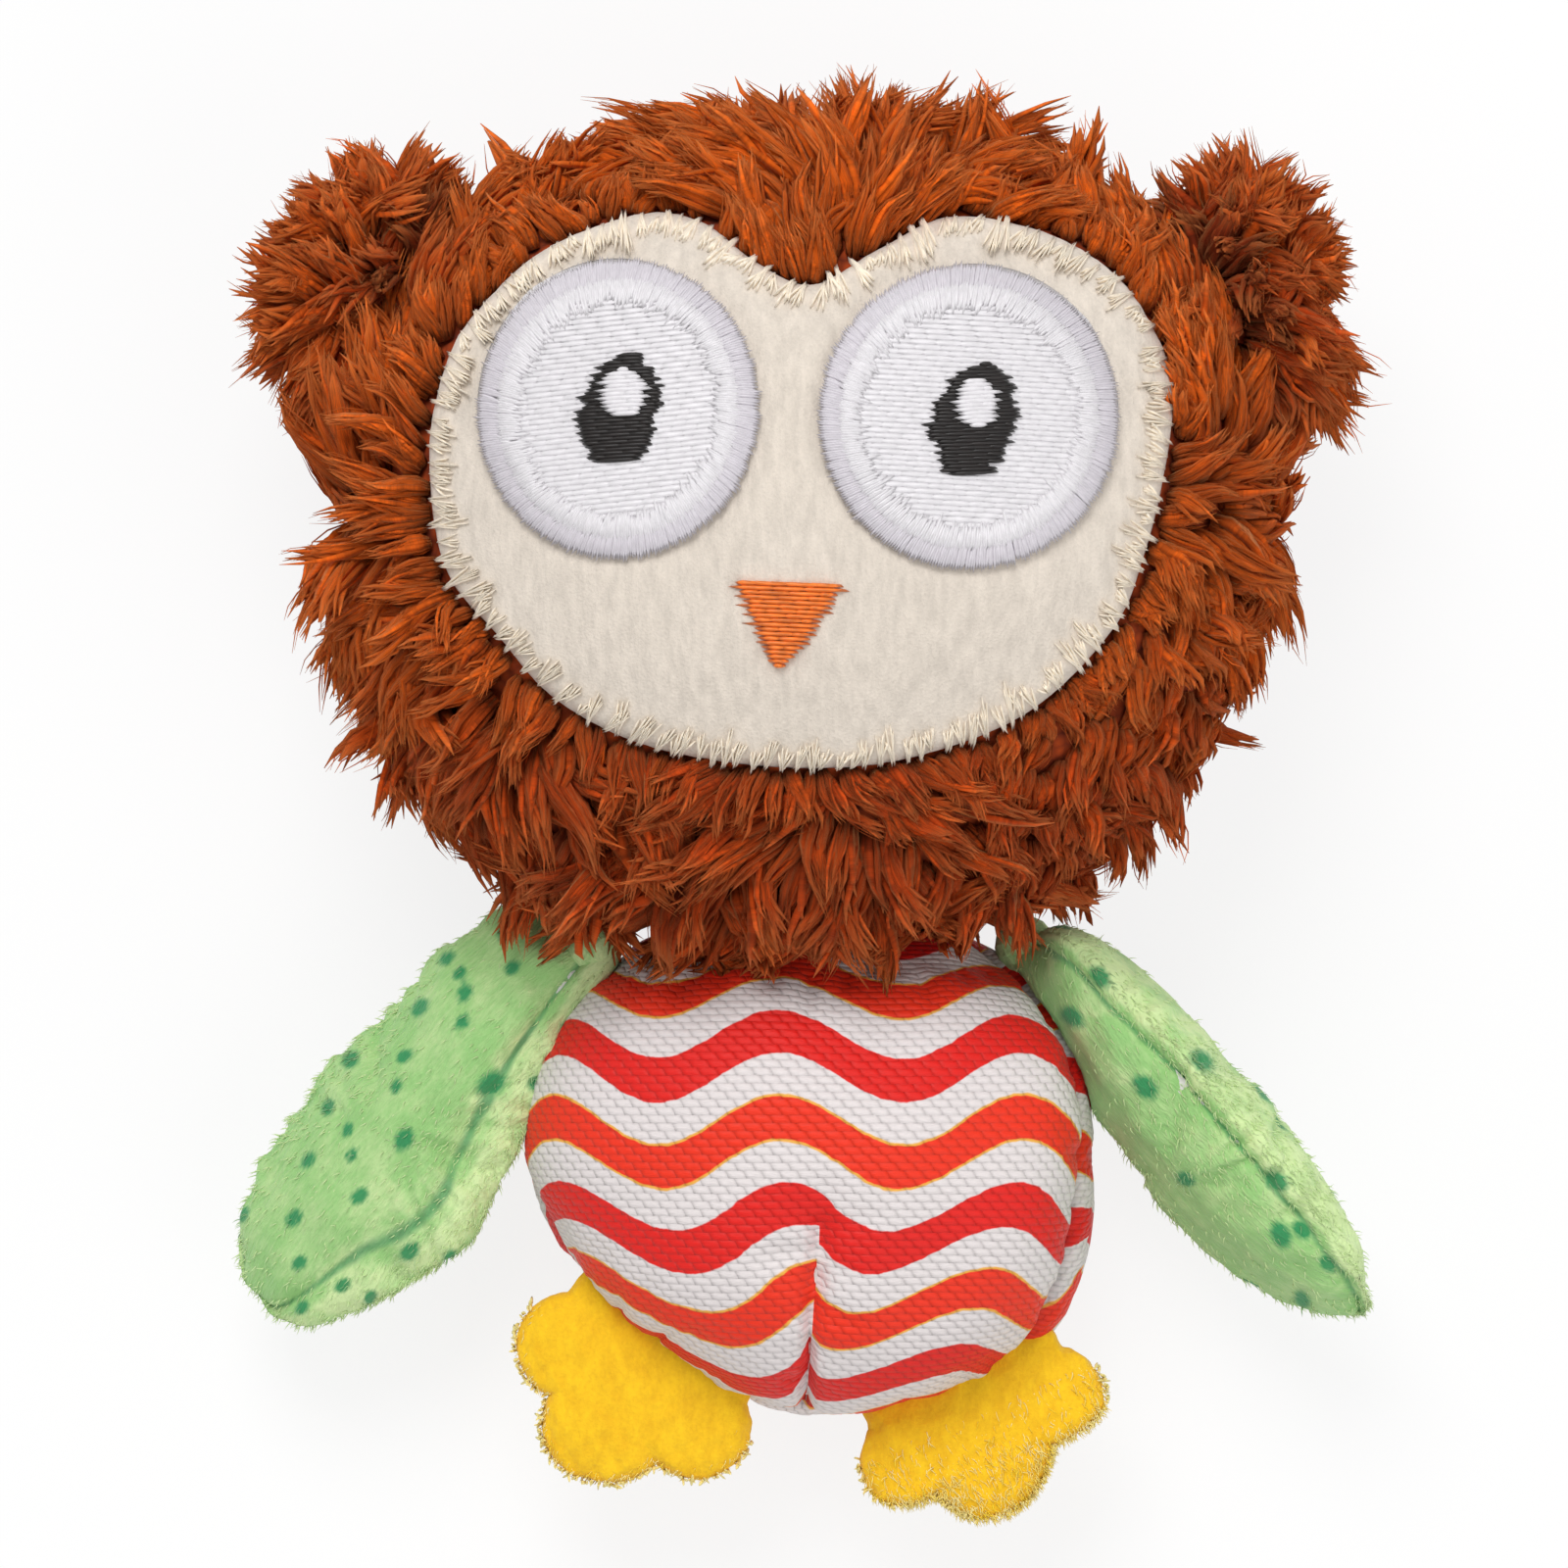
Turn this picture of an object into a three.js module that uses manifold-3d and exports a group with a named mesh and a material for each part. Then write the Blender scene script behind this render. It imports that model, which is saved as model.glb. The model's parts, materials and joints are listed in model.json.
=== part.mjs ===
// Stuffed owl cat toy, lying on its back as it does on a table. Millimetres, with +Z out of
// the face, +Y to the crown and +X to the right of the face as a viewer sees it. "Left" and
// "right" are the viewer's. The origin is on the table, under the middle of the toy.

import * as THREE from 'three';
import { mergeVertices } from 'three/addons/utils/BufferGeometryUtils.js';
import Module from 'manifold-3d';

const wasm = await Module();
wasm.setup();

// Cloth, thread, and the room between pieces that touch on the real toy
const gap = 0.3;
const furBacking = 1.0;       // knitted backing of the long-pile cloth
const velour = 0.9;           // cloth of the face, wings and feet
const wovenCloth = 0.8;       // striped cloth of the body
const embroidery = 0.6;       // height of the stitched fills
const seamPlies = 0.6;        // two turned-in edges pressed together
const seamAllowance = 2.5;    // how far they reach in
const wingAllowance = 1.6;
const pressedFlat = 0.5;      // how deep the back is pressed flat where it lies

// Head: a rounded form about its widest line, swelling from the side seam both ways
const headHalfWidth = 33.5;
const headAbove = 27;
const headBelow = 30;
const headFront = 22;
const headBack = 22.5;
const headTopPower = 2.4;     // corner fullness of the outline; 2 is an ellipse
const headChinPower = 2.2;
const headSwell = 2.4;        // fullness of the swell from the seam; 2 is an ellipse

// The long pile of the head's cloth: deepest round the side seam, and lying flat in front
const furReach = 4.5;         // past the side seam
const furRise = 1;            // past the head's front and back
const furAboveWings = 8;      // it is left out below this line, where it parts over the wings,
const furAboveNeck = 2;       // and below this one under the face
const beardHalfWidth = 12;    // how far the fur under the face reaches to each side

// Face patch, with its notch at the brow, placed from the middle of the head
const faceHalfWidth = 27.6;
const faceAbove = 20.3;
const faceBelow = 20.7;
const faceLift = 2;
const faceTopPower = 3;
const faceChinPower = 2;
const notchDepth = 4.9;
const notchHalfWidth = 6;
const stitchBite = 2.2;       // reach of the edge stitches onto the patch

// Eyes, placed from the middle of the head, and what is stitched inside each
const leftEyeAside = -13.7;
const leftEyeRise = 8;
const leftEyeHalfWidth = 10.3;
const leftEyeHalfHeight = 11;
const rightEyeAside = 12.6;
const rightEyeRise = 7.4;
const rightEyeHalfWidth = 11;
const rightEyeHalfHeight = 11.2;
const eyeTurn = -7;
const eyeRimWidth = 2.8;
const pupilHalfWidth = 3.45;
const pupilHalfHeight = 4.1;
const glintHalfWidth = 1.3;
const glintHalfHeight = 1.8;
const glintAside = 0.45;      // from the middle of the pupil
const glintRise = 1.1;
const beakHalfWidth = 3.75;
const beakHeight = 6.6;
const beakAside = -1.3;
const beakTop = -4.8;         // from the middle of the head
const beakLean = -0.6;        // how far its tip lies aside

// Body: flatter at the lower left, where the foot's seam pulls it
const bodyHalfWidth = 21.3;
const bodyAbove = 19;
const bodyBelow = 19.6;
const bodyFront = 13.5;
const bodyBack = 14;
const bodyAside = 0.4;
const bodyTopPower = 2.2;
const bodyLeftPower = 1.55;
const bodyRightPower = 2.35;
const bodySwell = 2.3;
const dartLength = 14.4;
const dartTurn = -4.4;        // degrees from the body's middle line
const dartAside = 0.2;

// Catnip pouch in the middle of the body
const pouchHalfWidth = 10;
const pouchHalfHeight = 8;
const pouchRise = 3;
const pouchSwell = 2;
const pouchCloth = 0.6;
const pouchMouth = 2;

// Neck: chin and body are gathered and sewn round a ball of filling
const neckRadius = 5;
const neckHeight = 15;        // above the table
const chinDrop = 1;           // how far the chin hangs past the middle of the neck
const neckRoom = 1.6;         // from chin to body, for the head to turn 8 and nod 12 degrees

// Ears, each of two fur plies, placed round the head's side seam
const earRadius = 8.6;
const earThickness = 6;
const earSwell = 2.4;
const earReach = 5.4;         // from the seam to the middle of the ear
const earFoldRange = [-35, 35];
const ears = [
  { side: 'left', angle: 150, twist: 6 },
  { side: 'right', angle: 28, twist: -8 },
];

// Wings: an outline of shares of length along and width across, root first
const wingLength = 38;
const wingWidth = 17.4;
const wingThickness = 8;
const wingSwell = 2.2;
const wingAside = 1.7;        // the outline lies this far out from the line of its root
const wingStart = -1.2;
const wingMiddle = 0.55;      // share of the length where the wing is thickest
const wingOutline = [
  [0.02, 0.02], [0, -0.2], [0.15, -0.28], [0.31, -0.36], [0.5, -0.47], [0.63, -0.53],
  [0.75, -0.48], [0.87, -0.34], [0.965, -0.18], [1, 0.02], [0.96, 0.25], [0.83, 0.4],
  [0.64, 0.47], [0.43, 0.46], [0.21, 0.4], [0.06, 0.3],
];
const knobRadius = 2.3;       // gathered root, caught in the body's side seam
const knobReach = 2;          // from the body's seam to the middle of the knob
const leftRootHeight = 17;    // of the roots above the table
const rightRootHeight = 14;
const wingSweepRange = [0, 30];
const wingLiftRange = [-8, 45];
const wings = [
  {
    side: 'left', flip: -1, angle: 136, height: leftRootHeight,
    heading: 230, roll: 22, droop: 8,
  },
  {
    side: 'right', flip: 1, angle: 44, height: rightRootHeight,
    heading: -49, roll: 68, droop: 3,
  },
];

// Feet: three round lobes, two plies with a stitched edge, sewn into the body's seam
const footThickness = 2.9;
const footSwell = 8;
const footPalm = 8.7;         // radius about the middle of the foot's seam
const middleLobeRadius = 5.2;
const middleLobeReach = 6.6;  // from the middle of the foot's seam
const sideLobeRadius = 4.2;
const sideLobeReach = 3.5;
const sideLobeSpread = 6.3;
const footEdge = 0.7;         // how far the stitched edge stands out round the foot
const footEdgeHeight = 1.9;
const footFoldRange = [-45, 45];
const feet = [
  { side: 'left', angle: 230, heading: -32 },
  { side: 'right', angle: 302, heading: 23 },
];

// Facets: sections round an outline, and rings from its middle to its edge
const headFacets = { around: 32, rings: 5 };
const bodyFacets = { around: 28, rings: 5 };
const wingFacets = { around: 24, rings: 3 };
const smallFacets = { around: 20, rings: 3 };
const footFacets = 32;
const faceFacets = 44;
const eyeFacets = 24;
const pupilFacets = 16;
const ballFacets = { around: 14, rings: 8 };
const far = 200;              // past every piece, for cutting tools
const weld = 1e-4;            // corners closer than this are one
const turnSteps = 3;          // places tried over each joint's range

const degrees = Math.PI / 180;
const xAxis = new THREE.Vector3(1, 0, 0);
const yAxis = new THREE.Vector3(0, 1, 0);
const zAxis = new THREE.Vector3(0, 0, 1);

// Between three.js geometry and solids that can be joined and cut

function toSolid(geometry) {
  const bare = geometry.clone();
  bare.deleteAttribute('normal');
  bare.deleteAttribute('uv');
  const merged = mergeVertices(bare, weld);
  return new wasm.Manifold(new wasm.Mesh({
    numProp: 3,
    vertProperties: merged.attributes.position.array,
    triVerts: merged.index.array,
  }));
}

function toGeometry(solid) {
  const mesh = solid.getMesh();
  const geometry = new THREE.BufferGeometry();
  geometry.setAttribute('position', new THREE.BufferAttribute(mesh.vertProperties, 3));
  geometry.setIndex(new THREE.BufferAttribute(mesh.triVerts, 1));
  geometry.computeVertexNormals();
  return geometry;
}

function subtract(solid, ...cutters) {
  return cutters.reduce((left, cutter) => left.subtract(cutter), solid);
}

function placed(solid, matrix) {
  return solid.transform(matrix.elements);
}

// Outlines in plan, as counter-clockwise lists of points

// How far a rounded outline reaches from its middle in one direction.
function reach(outline, angle) {
  const across = Math.abs(Math.cos(angle)) / outline.halfWidth;
  const rising = Math.sin(angle) > 0;
  const along = Math.abs(Math.sin(angle)) / (rising ? outline.above : outline.below);
  const side = Math.cos(angle) < 0 ? outline.leftPower : outline.rightPower;
  const power = rising ? outline.topPower : side;
  return (across ** power + along ** power) ** (-1 / power);
}

function edgePoint(outline, angle) {
  const distance = reach(outline, angle);
  return new THREE.Vector2(distance * Math.cos(angle), distance * Math.sin(angle));
}

function round(outline, around) {
  const step = 2 * Math.PI / around;
  return Array.from({ length: around }, (_, i) => edgePoint(outline, i * step));
}

function ellipse(shape, around = smallFacets.around, grow = 0) {
  const { x = 0, y = 0, halfWidth, halfHeight, turn = 0 } = shape;
  const centre = new THREE.Vector2(x, y);
  return Array.from({ length: around }, (_, i) => {
    const angle = 2 * Math.PI * i / around;
    const along = (halfWidth + grow) * Math.cos(angle);
    const up = (halfHeight + grow) * Math.sin(angle);
    const point = new THREE.Vector2(along, up).rotateAround(new THREE.Vector2(), turn * degrees);
    return point.add(centre);
  });
}

// The outline moved outwards by a distance, or inwards where it is negative.
function grown(outline, distance) {
  return outline.map((point, i) => {
    const before = outline.at(i - 1);
    const after = outline[(i + 1) % outline.length];
    const along = after.clone().sub(before).normalize();
    return new THREE.Vector2(along.y, -along.x).multiplyScalar(distance).add(point);
  });
}

// Basic solids

// A stuffed form over an outline: it swells from the seam at height 0, up by front and
// down by back, and its rings crowd towards the seam, where it turns fastest.
function pillow({ outline, middle, front, back, swell, rings }) {
  const around = outline.length;
  const shares = Array.from({ length: rings - 1 }, (_, i) => (
    Math.sin(Math.PI / 2 * (i + 1) / rings)
  ));
  const levels = [
    ...shares.map((share) => ({ share, height: front * Math.sqrt(1 - share ** swell) })),
    { share: 1, height: 0 },
    ...shares.map((share) => ({ share, height: -back * Math.sqrt(1 - share ** swell) })).reverse(),
  ];
  const positions = [middle.x, middle.y, front];
  for (const { share, height } of levels) {
    for (const point of outline) {
      const place = middle.clone().lerp(point, share);
      positions.push(place.x, place.y, height);
    }
  }
  const last = positions.length / 3;
  positions.push(middle.x, middle.y, -back);
  const at = (level, i) => 1 + level * around + i % around;
  const faces = [];
  for (let i = 0; i < around; i += 1) {
    faces.push(0, at(0, i), at(0, i + 1));
    for (let level = 0; level < levels.length - 1; level += 1) {
      faces.push(at(level, i), at(level + 1, i), at(level + 1, i + 1));
      faces.push(at(level, i), at(level + 1, i + 1), at(level, i + 1));
    }
    faces.push(last, at(levels.length - 1, i + 1), at(levels.length - 1, i));
  }
  const geometry = new THREE.BufferGeometry();
  geometry.setAttribute('position', new THREE.Float32BufferAttribute(positions, 3));
  geometry.setIndex(faces);
  return toSolid(geometry);
}

function prism(outline, low = -far, high = far) {
  const geometry = new THREE.ExtrudeGeometry(
    new THREE.Shape(outline),
    { depth: high - low, bevelEnabled: false },
  );
  return toSolid(geometry.translate(0, 0, low));
}

function slab(low, high) {
  const geometry = new THREE.BoxGeometry(2 * far, 2 * far, high - low);
  return toSolid(geometry.translate(0, 0, (low + high) / 2));
}

function ball(radius, centre = new THREE.Vector3()) {
  const geometry = new THREE.SphereGeometry(radius, ballFacets.around, ballFacets.rings);
  return toSolid(geometry.translate(centre.x, centre.y, centre.z));
}

// A flat band inside an outline: the turned-in edges of a seam.
function allowance(outline, width) {
  const band = prism(outline, -seamPlies / 2, seamPlies / 2);
  return band.subtract(prism(grown(outline, -width)));
}

// What filling leaves free for the seam that runs round it.
function allowanceRoom(outline, width) {
  const room = seamPlies / 2 + gap;
  return slab(-room, room).subtract(prism(grown(outline, -width - gap)));
}

const aboveSeam = slab(seamPlies / 2 + gap, far);
const belowSeam = slab(-far, -seamPlies / 2 - gap);

// Pieces and their finishes

const finishes = {
  brownFur: [0x9a4316, 1],
  creamVelour: [0xdacfc2, 0.95],
  ivoryThread: [0xe6dccb, 0.6],
  whiteThread: [0xe5e1e3, 0.45],
  greyThread: [0xd3ced6, 0.4],
  blackThread: [0x261c1a, 0.5],
  orangeThread: [0xec651a, 0.45],
  stripedWeave: [0xd9402e, 0.7],
  redThread: [0xb02018, 0.7],
  greenVelour: [0xa5cd88, 0.9],
  greenThread: [0x7db06a, 0.7],
  yellowVelour: [0xf9be1a, 0.95],
  yellowThread: [0xe0a010, 0.8],
  fibreFill: [0xf2f0ec, 1],
  pouchCloth: [0xefe7d6, 0.9],
  driedLeaf: [0x77804a, 1],
};

function piece(name, finish, solid) {
  const [color, roughness] = finishes[finish];
  const material = new THREE.MeshStandardMaterial({ color, roughness, metalness: 0 });
  const mesh = new THREE.Mesh(toGeometry(solid), material);
  mesh.name = name;
  return mesh;
}

function groupAt(position, pieces = []) {
  const group = new THREE.Group();
  group.position.copy(position);
  if (pieces.length) group.add(...pieces);
  return group;
}

// Where the big forms sit, from the middle of the neck

const neckPlace = new THREE.Vector3(0, 0, neckHeight);
const headPlace = new THREE.Vector3(0, headBelow - chinDrop, headBack - pressedFlat);
const bodyPlace = new THREE.Vector3(bodyAside, -bodyAbove, bodyBack - pressedFlat);

const headOutline = {
  halfWidth: headHalfWidth,
  above: headAbove,
  below: headBelow,
  topPower: headTopPower,
  leftPower: headChinPower,
  rightPower: headChinPower,
};
const bodyOutline = {
  halfWidth: bodyHalfWidth,
  above: bodyAbove,
  below: bodyBelow,
  topPower: bodyTopPower,
  leftPower: bodyLeftPower,
  rightPower: bodyRightPower,
};
const headEdge = round(headOutline, headFacets.around);
const bodyEdge = round(bodyOutline, bodyFacets.around);

// The head's and the body's forms about their own middles, grown by a distance.
function headForm(by = 0) {
  return pillow({
    outline: grown(headEdge, by),
    middle: new THREE.Vector2(),
    front: headFront + by,
    back: headBack + by,
    swell: headSwell,
    rings: headFacets.rings,
  });
}

function furForm(by = 0) {
  return pillow({
    outline: grown(headEdge, furReach + by),
    middle: new THREE.Vector2(),
    front: headFront + furRise + by,
    back: headBack + furRise + by,
    swell: headSwell,
    rings: headFacets.rings,
  });
}

function bodyForm(by = 0) {
  return pillow({
    outline: grown(bodyEdge, by),
    middle: new THREE.Vector2(),
    front: bodyFront + by,
    back: bodyBack + by,
    swell: bodySwell,
    rings: bodyFacets.rings,
  });
}

function shifted(solid, from, to) {
  return solid.translate([from.x - to.x, from.y - to.y, from.z - to.z]);
}

// Limbs are cut by the body or head, at rest and over the range that they move through.

// The ways a limb stands over its ranges, as turns about its root.
function turnsOver(joints, steps = turnSteps) {
  let turns = [new THREE.Matrix4()];
  for (const { axis, range } of joints) {
    const angles = Array.from({ length: steps }, (_, i) => (
      THREE.MathUtils.lerp(range[0], range[1], i / (steps - 1)) * degrees
    ));
    turns = turns.flatMap((turn) => angles.map((angle) => (
      turn.clone().multiply(new THREE.Matrix4().makeRotationAxis(axis, angle))
    )));
  }
  return turns;
}

// The larger form as the limb in its group meets it at each of those turns.
function cuttersFor(group, larger, largerPlace, joints) {
  group.updateMatrixWorld(true);
  const toLimb = group.matrixWorld.clone().invert();
  const root = group.position;
  const fromRoot = new THREE.Matrix4().makeTranslation(
    largerPlace.x - root.x,
    largerPlace.y - root.y,
    largerPlace.z - root.z,
  );
  const toRoot = new THREE.Matrix4().makeTranslation(root.x, root.y, root.z);
  const rest = [new THREE.Matrix4(), ...turnsOver(joints)];
  return rest.map((turn) => {
    const matrix = toLimb.clone().multiply(toRoot).multiply(turn.clone().invert());
    return placed(larger, matrix.multiply(fromRoot));
  });
}

// Head

const eyes = [
  {
    side: 'left', x: leftEyeAside, y: leftEyeRise, turn: eyeTurn,
    halfWidth: leftEyeHalfWidth, halfHeight: leftEyeHalfHeight,
  },
  {
    side: 'right', x: rightEyeAside, y: rightEyeRise, turn: eyeTurn,
    halfWidth: rightEyeHalfWidth, halfHeight: rightEyeHalfHeight,
  },
];

const faceOutline = {
  halfWidth: faceHalfWidth,
  above: faceAbove,
  below: faceBelow,
  topPower: faceTopPower,
  leftPower: faceChinPower,
  rightPower: faceChinPower,
};

function facePoints() {
  return round(faceOutline, faceFacets).map((point) => {
    const bite = point.y > 0 ? notchDepth * Math.exp(-((point.x / notchHalfWidth) ** 2)) : 0;
    return new THREE.Vector2(point.x, point.y + faceLift - bite);
  });
}

// A flat piece that lies on the head's front, between two heights over its cloth.
function onFace(outline, low, high, ...holes) {
  const layer = headForm(high).subtract(headForm(low)).intersect(prism(outline, gap, far));
  return subtract(layer, ...holes.map((hole) => prism(hole)));
}

function facePieces() {
  const patchLow = gap;
  const patchHigh = patchLow + velour;
  const threadLow = patchHigh + gap;
  const threadHigh = threadLow + embroidery;
  const face = facePoints();
  const stitchOuter = grown(face, gap);
  const eyeRoom = eyes.map((eye) => ellipse(eye, eyeFacets, gap));
  const beak = [
    new THREE.Vector2(beakAside - beakHalfWidth, beakTop),
    new THREE.Vector2(beakAside + beakLean, beakTop - beakHeight),
    new THREE.Vector2(beakAside + beakHalfWidth, beakTop),
  ];
  const pieces = [
    piece('face_patch', 'creamVelour', onFace(face, patchLow, patchHigh)),
    piece('face_stitching', 'ivoryThread',
      onFace(stitchOuter, threadLow, threadHigh, grown(face, -stitchBite), ...eyeRoom)),
    piece('beak', 'orangeThread', onFace(beak, threadLow, threadHigh, ...eyeRoom)),
  ];
  for (const eye of eyes) {
    const pupil = {
      x: eye.x, y: eye.y, halfWidth: pupilHalfWidth, halfHeight: pupilHalfHeight,
    };
    const glint = {
      x: eye.x + glintAside,
      y: eye.y + glintRise,
      halfWidth: glintHalfWidth,
      halfHeight: glintHalfHeight,
    };
    const pupilRoom = ellipse(pupil, pupilFacets, gap);
    const glintRoom = ellipse(glint, pupilFacets, gap);
    const outer = ellipse(eye, eyeFacets);
    const inner = ellipse(eye, eyeFacets, -eyeRimWidth);
    const fill = ellipse(eye, eyeFacets, -eyeRimWidth - gap);
    pieces.push(
      piece(`${eye.side}_eye_rim`, 'greyThread', onFace(outer, threadLow, threadHigh, inner)),
      piece(`${eye.side}_eye_fill`, 'whiteThread',
        onFace(fill, threadLow, threadHigh, pupilRoom)),
      piece(`${eye.side}_pupil`, 'blackThread',
        onFace(ellipse(pupil, pupilFacets), threadLow, threadHigh, glintRoom)),
      piece(`${eye.side}_eye_glint`, 'whiteThread',
        onFace(ellipse(glint, pupilFacets), threadLow, threadHigh)),
    );
  }
  return pieces;
}

function headPieces() {
  const neckSeat = ball(neckRadius + gap, neckPlace.clone().sub(headPlace));
  const table = slab(-far, -headPlace.z);
  const below = (line) => toSolid(new THREE.BoxGeometry(2 * far, far, 2 * far)
    .translate(0, line - headPlace.y - far / 2, 0));
  const beard = toSolid(new THREE.BoxGeometry(2 * beardHalfWidth, 2 * far, 2 * far));
  const parting = below(furAboveNeck).add(below(furAboveWings).subtract(beard));
  const pile = subtract(furForm(), prism(grown(facePoints(), 2 * gap), 0, far), parting);
  const cloth = subtract(headForm().add(pile), headForm(-furBacking), neckSeat, table);
  const seam = allowance(headEdge, seamAllowance);
  const filling = headForm(-furBacking - gap);
  return [
    piece('head_front_panel', 'brownFur', cloth.intersect(aboveSeam)),
    piece('head_back_panel', 'brownFur', cloth.intersect(belowSeam)),
    piece('head_seam', 'brownFur', subtract(seam, neckSeat)),
    piece('head_stuffing', 'fibreFill',
      subtract(filling, allowanceRoom(headEdge, seamAllowance), neckSeat)),
  ];
}

function earGroup({ side, angle, twist }) {
  const root = edgePoint(headOutline, angle * degrees);
  const outwards = root.clone().normalize().multiplyScalar(gap);
  const place = new THREE.Vector3(root.x + outwards.x, root.y + outwards.y, 0).add(headPlace);
  const group = groupAt(place);
  group.rotation.set(0, 0, (angle + twist) * degrees);
  const form = pillow({
    outline: ellipse({ x: earReach, halfWidth: earRadius, halfHeight: earRadius }),
    middle: new THREE.Vector2(earReach, 0),
    front: earThickness / 2,
    back: earThickness / 2,
    swell: earSwell,
    rings: smallFacets.rings,
  });
  const foldAxis = yAxis.clone().applyEuler(group.rotation);
  const joints = [{ axis: foldAxis, range: earFoldRange }];
  const ply = subtract(form, ...cuttersFor(group, furForm(gap), headPlace, joints));
  group.add(
    piece(`${side}_ear_front`, 'brownFur', ply.intersect(slab(gap / 2, far))),
    piece(`${side}_ear_back`, 'brownFur', ply.intersect(slab(-far, -gap / 2))),
  );
  return group;
}

// Wings

function wingRoot({ angle, height }) {
  const seam = edgePoint(bodyOutline, angle * degrees);
  const place = seam.add(seam.clone().normalize().multiplyScalar(knobReach));
  return new THREE.Vector3(bodyPlace.x + place.x, bodyPlace.y + place.y, height);
}

function wingPoints(flip) {
  const corners = wingOutline.map(([along, across]) => (
    new THREE.Vector3(
      wingStart + along * wingLength,
      flip * (wingAside + across * wingWidth),
      0,
    )
  ));
  const curve = new THREE.CatmullRomCurve3(corners, true);
  const points = curve.getSpacedPoints(wingFacets.around).slice(0, -1)
    .map((point) => new THREE.Vector2(point.x, point.y));
  return THREE.ShapeUtils.isClockWise(points) ? points.reverse() : points;
}

function wingGroup(wing) {
  const { side, flip, heading, roll, droop } = wing;
  const group = groupAt(wingRoot(wing));
  group.rotation.set(roll * degrees, droop * degrees, heading * degrees, 'ZYX');
  const outline = wingPoints(flip);
  const form = (by) => pillow({
    outline: grown(outline, by),
    middle: new THREE.Vector2(wingStart + wingLength * wingMiddle, flip * wingAside),
    front: wingThickness / 2 + by,
    back: wingThickness / 2 + by,
    swell: wingSwell,
    rings: wingFacets.rings,
  });
  const outwards = xAxis.clone().applyAxisAngle(zAxis, heading * degrees);
  const joints = [
    { axis: zAxis.clone().multiplyScalar(flip), range: wingSweepRange },
    { axis: outwards.cross(zAxis), range: wingLiftRange },
  ];
  const body = cuttersFor(group, bodyForm(gap), bodyPlace, joints);
  const seat = ball(knobRadius + gap);
  const cloth = subtract(form(0), form(-velour), seat, ...body);
  const seam = subtract(allowance(outline, wingAllowance), seat, ...body);
  const filling = subtract(
    form(-velour - gap), allowanceRoom(outline, wingAllowance), seat, ...body,
  );
  group.add(
    piece(`${side}_wing_front`, 'greenVelour', cloth.intersect(aboveSeam)),
    piece(`${side}_wing_back`, 'greenVelour', cloth.intersect(belowSeam)),
    piece(`${side}_wing_seam`, 'greenThread', seam),
    piece(`${side}_wing_stuffing`, 'fibreFill', filling),
    piece(`${side}_wing_root`, 'greenVelour', ball(knobRadius)),
  );
  return group;
}

// Feet

// The farthest that the palm or a lobe reaches along each ray from the middle of the foot.
function footPoints() {
  const rounds = [
    { x: 0, y: 0, radius: footPalm },
    { x: 0, y: middleLobeReach, radius: middleLobeRadius },
    { x: -sideLobeSpread, y: sideLobeReach, radius: sideLobeRadius },
    { x: sideLobeSpread, y: sideLobeReach, radius: sideLobeRadius },
  ];
  const start = new THREE.Vector2(0, footPalm / 2);
  return Array.from({ length: footFacets }, (_, i) => {
    const angle = 2 * Math.PI * i / footFacets;
    const ray = new THREE.Vector2(Math.cos(angle), Math.sin(angle));
    const reaches = rounds.map(({ x, y, radius }) => {
      const to = new THREE.Vector2(x, y).sub(start);
      const along = to.dot(ray);
      const inside = radius ** 2 - to.lengthSq() + along ** 2;
      return inside > 0 ? along + Math.sqrt(inside) : 0;
    });
    return ray.multiplyScalar(Math.max(...reaches)).add(start);
  });
}

function footGroup({ side, angle, heading }) {
  const root = edgePoint(bodyOutline, angle * degrees);
  const outwards = root.clone().normalize().multiplyScalar(gap);
  const place = new THREE.Vector3(root.x + outwards.x, root.y + outwards.y, 0).add(bodyPlace);
  const group = groupAt(place);
  group.rotation.set(0, 0, (heading + 180) * degrees);
  const outline = footPoints();
  const form = pillow({
    outline,
    middle: new THREE.Vector2(0, footPalm / 2),
    front: footThickness / 2,
    back: footThickness / 2,
    swell: footSwell,
    rings: smallFacets.rings,
  });
  const foldAxis = xAxis.clone().applyEuler(group.rotation);
  const joints = [{ axis: foldAxis, range: footFoldRange }];
  const body = cuttersFor(group, bodyForm(gap), bodyPlace, joints);
  const ply = subtract(form, ...body);
  const band = prism(
    grown(outline, gap + footEdge),
    -footEdgeHeight / 2,
    footEdgeHeight / 2,
  );
  const edge = subtract(band, prism(grown(outline, gap)), ...body);
  group.add(
    piece(`${side}_foot_top`, 'yellowVelour', ply.intersect(slab(gap / 2, far))),
    piece(`${side}_foot_sole`, 'yellowVelour', ply.intersect(slab(-far, -gap / 2))),
    piece(`${side}_foot_edge`, 'yellowThread', edge),
  );
  return group;
}

// Body

// The dart's line from the body's lowest point up its front, as a strip of a given width.
function dartStrip(width) {
  const strip = [
    new THREE.Vector2(dartAside - width / 2, -bodyBelow - far),
    new THREE.Vector2(dartAside + width / 2, -bodyBelow - far),
    new THREE.Vector2(dartAside + width / 2, dartLength - bodyBelow),
    new THREE.Vector2(dartAside - width / 2, dartLength - bodyBelow),
  ];
  const foot = new THREE.Vector2(dartAside, -bodyBelow);
  return prism(strip.map((point) => point.rotateAround(foot, dartTurn * degrees)), 0, far);
}

function pouch(by) {
  return pillow({
    outline: ellipse({ halfWidth: pouchHalfWidth + by, halfHeight: pouchHalfHeight + by }),
    middle: new THREE.Vector2(),
    front: pouchRise + by,
    back: pouchRise + by,
    swell: pouchSwell,
    rings: smallFacets.rings,
  });
}

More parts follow.
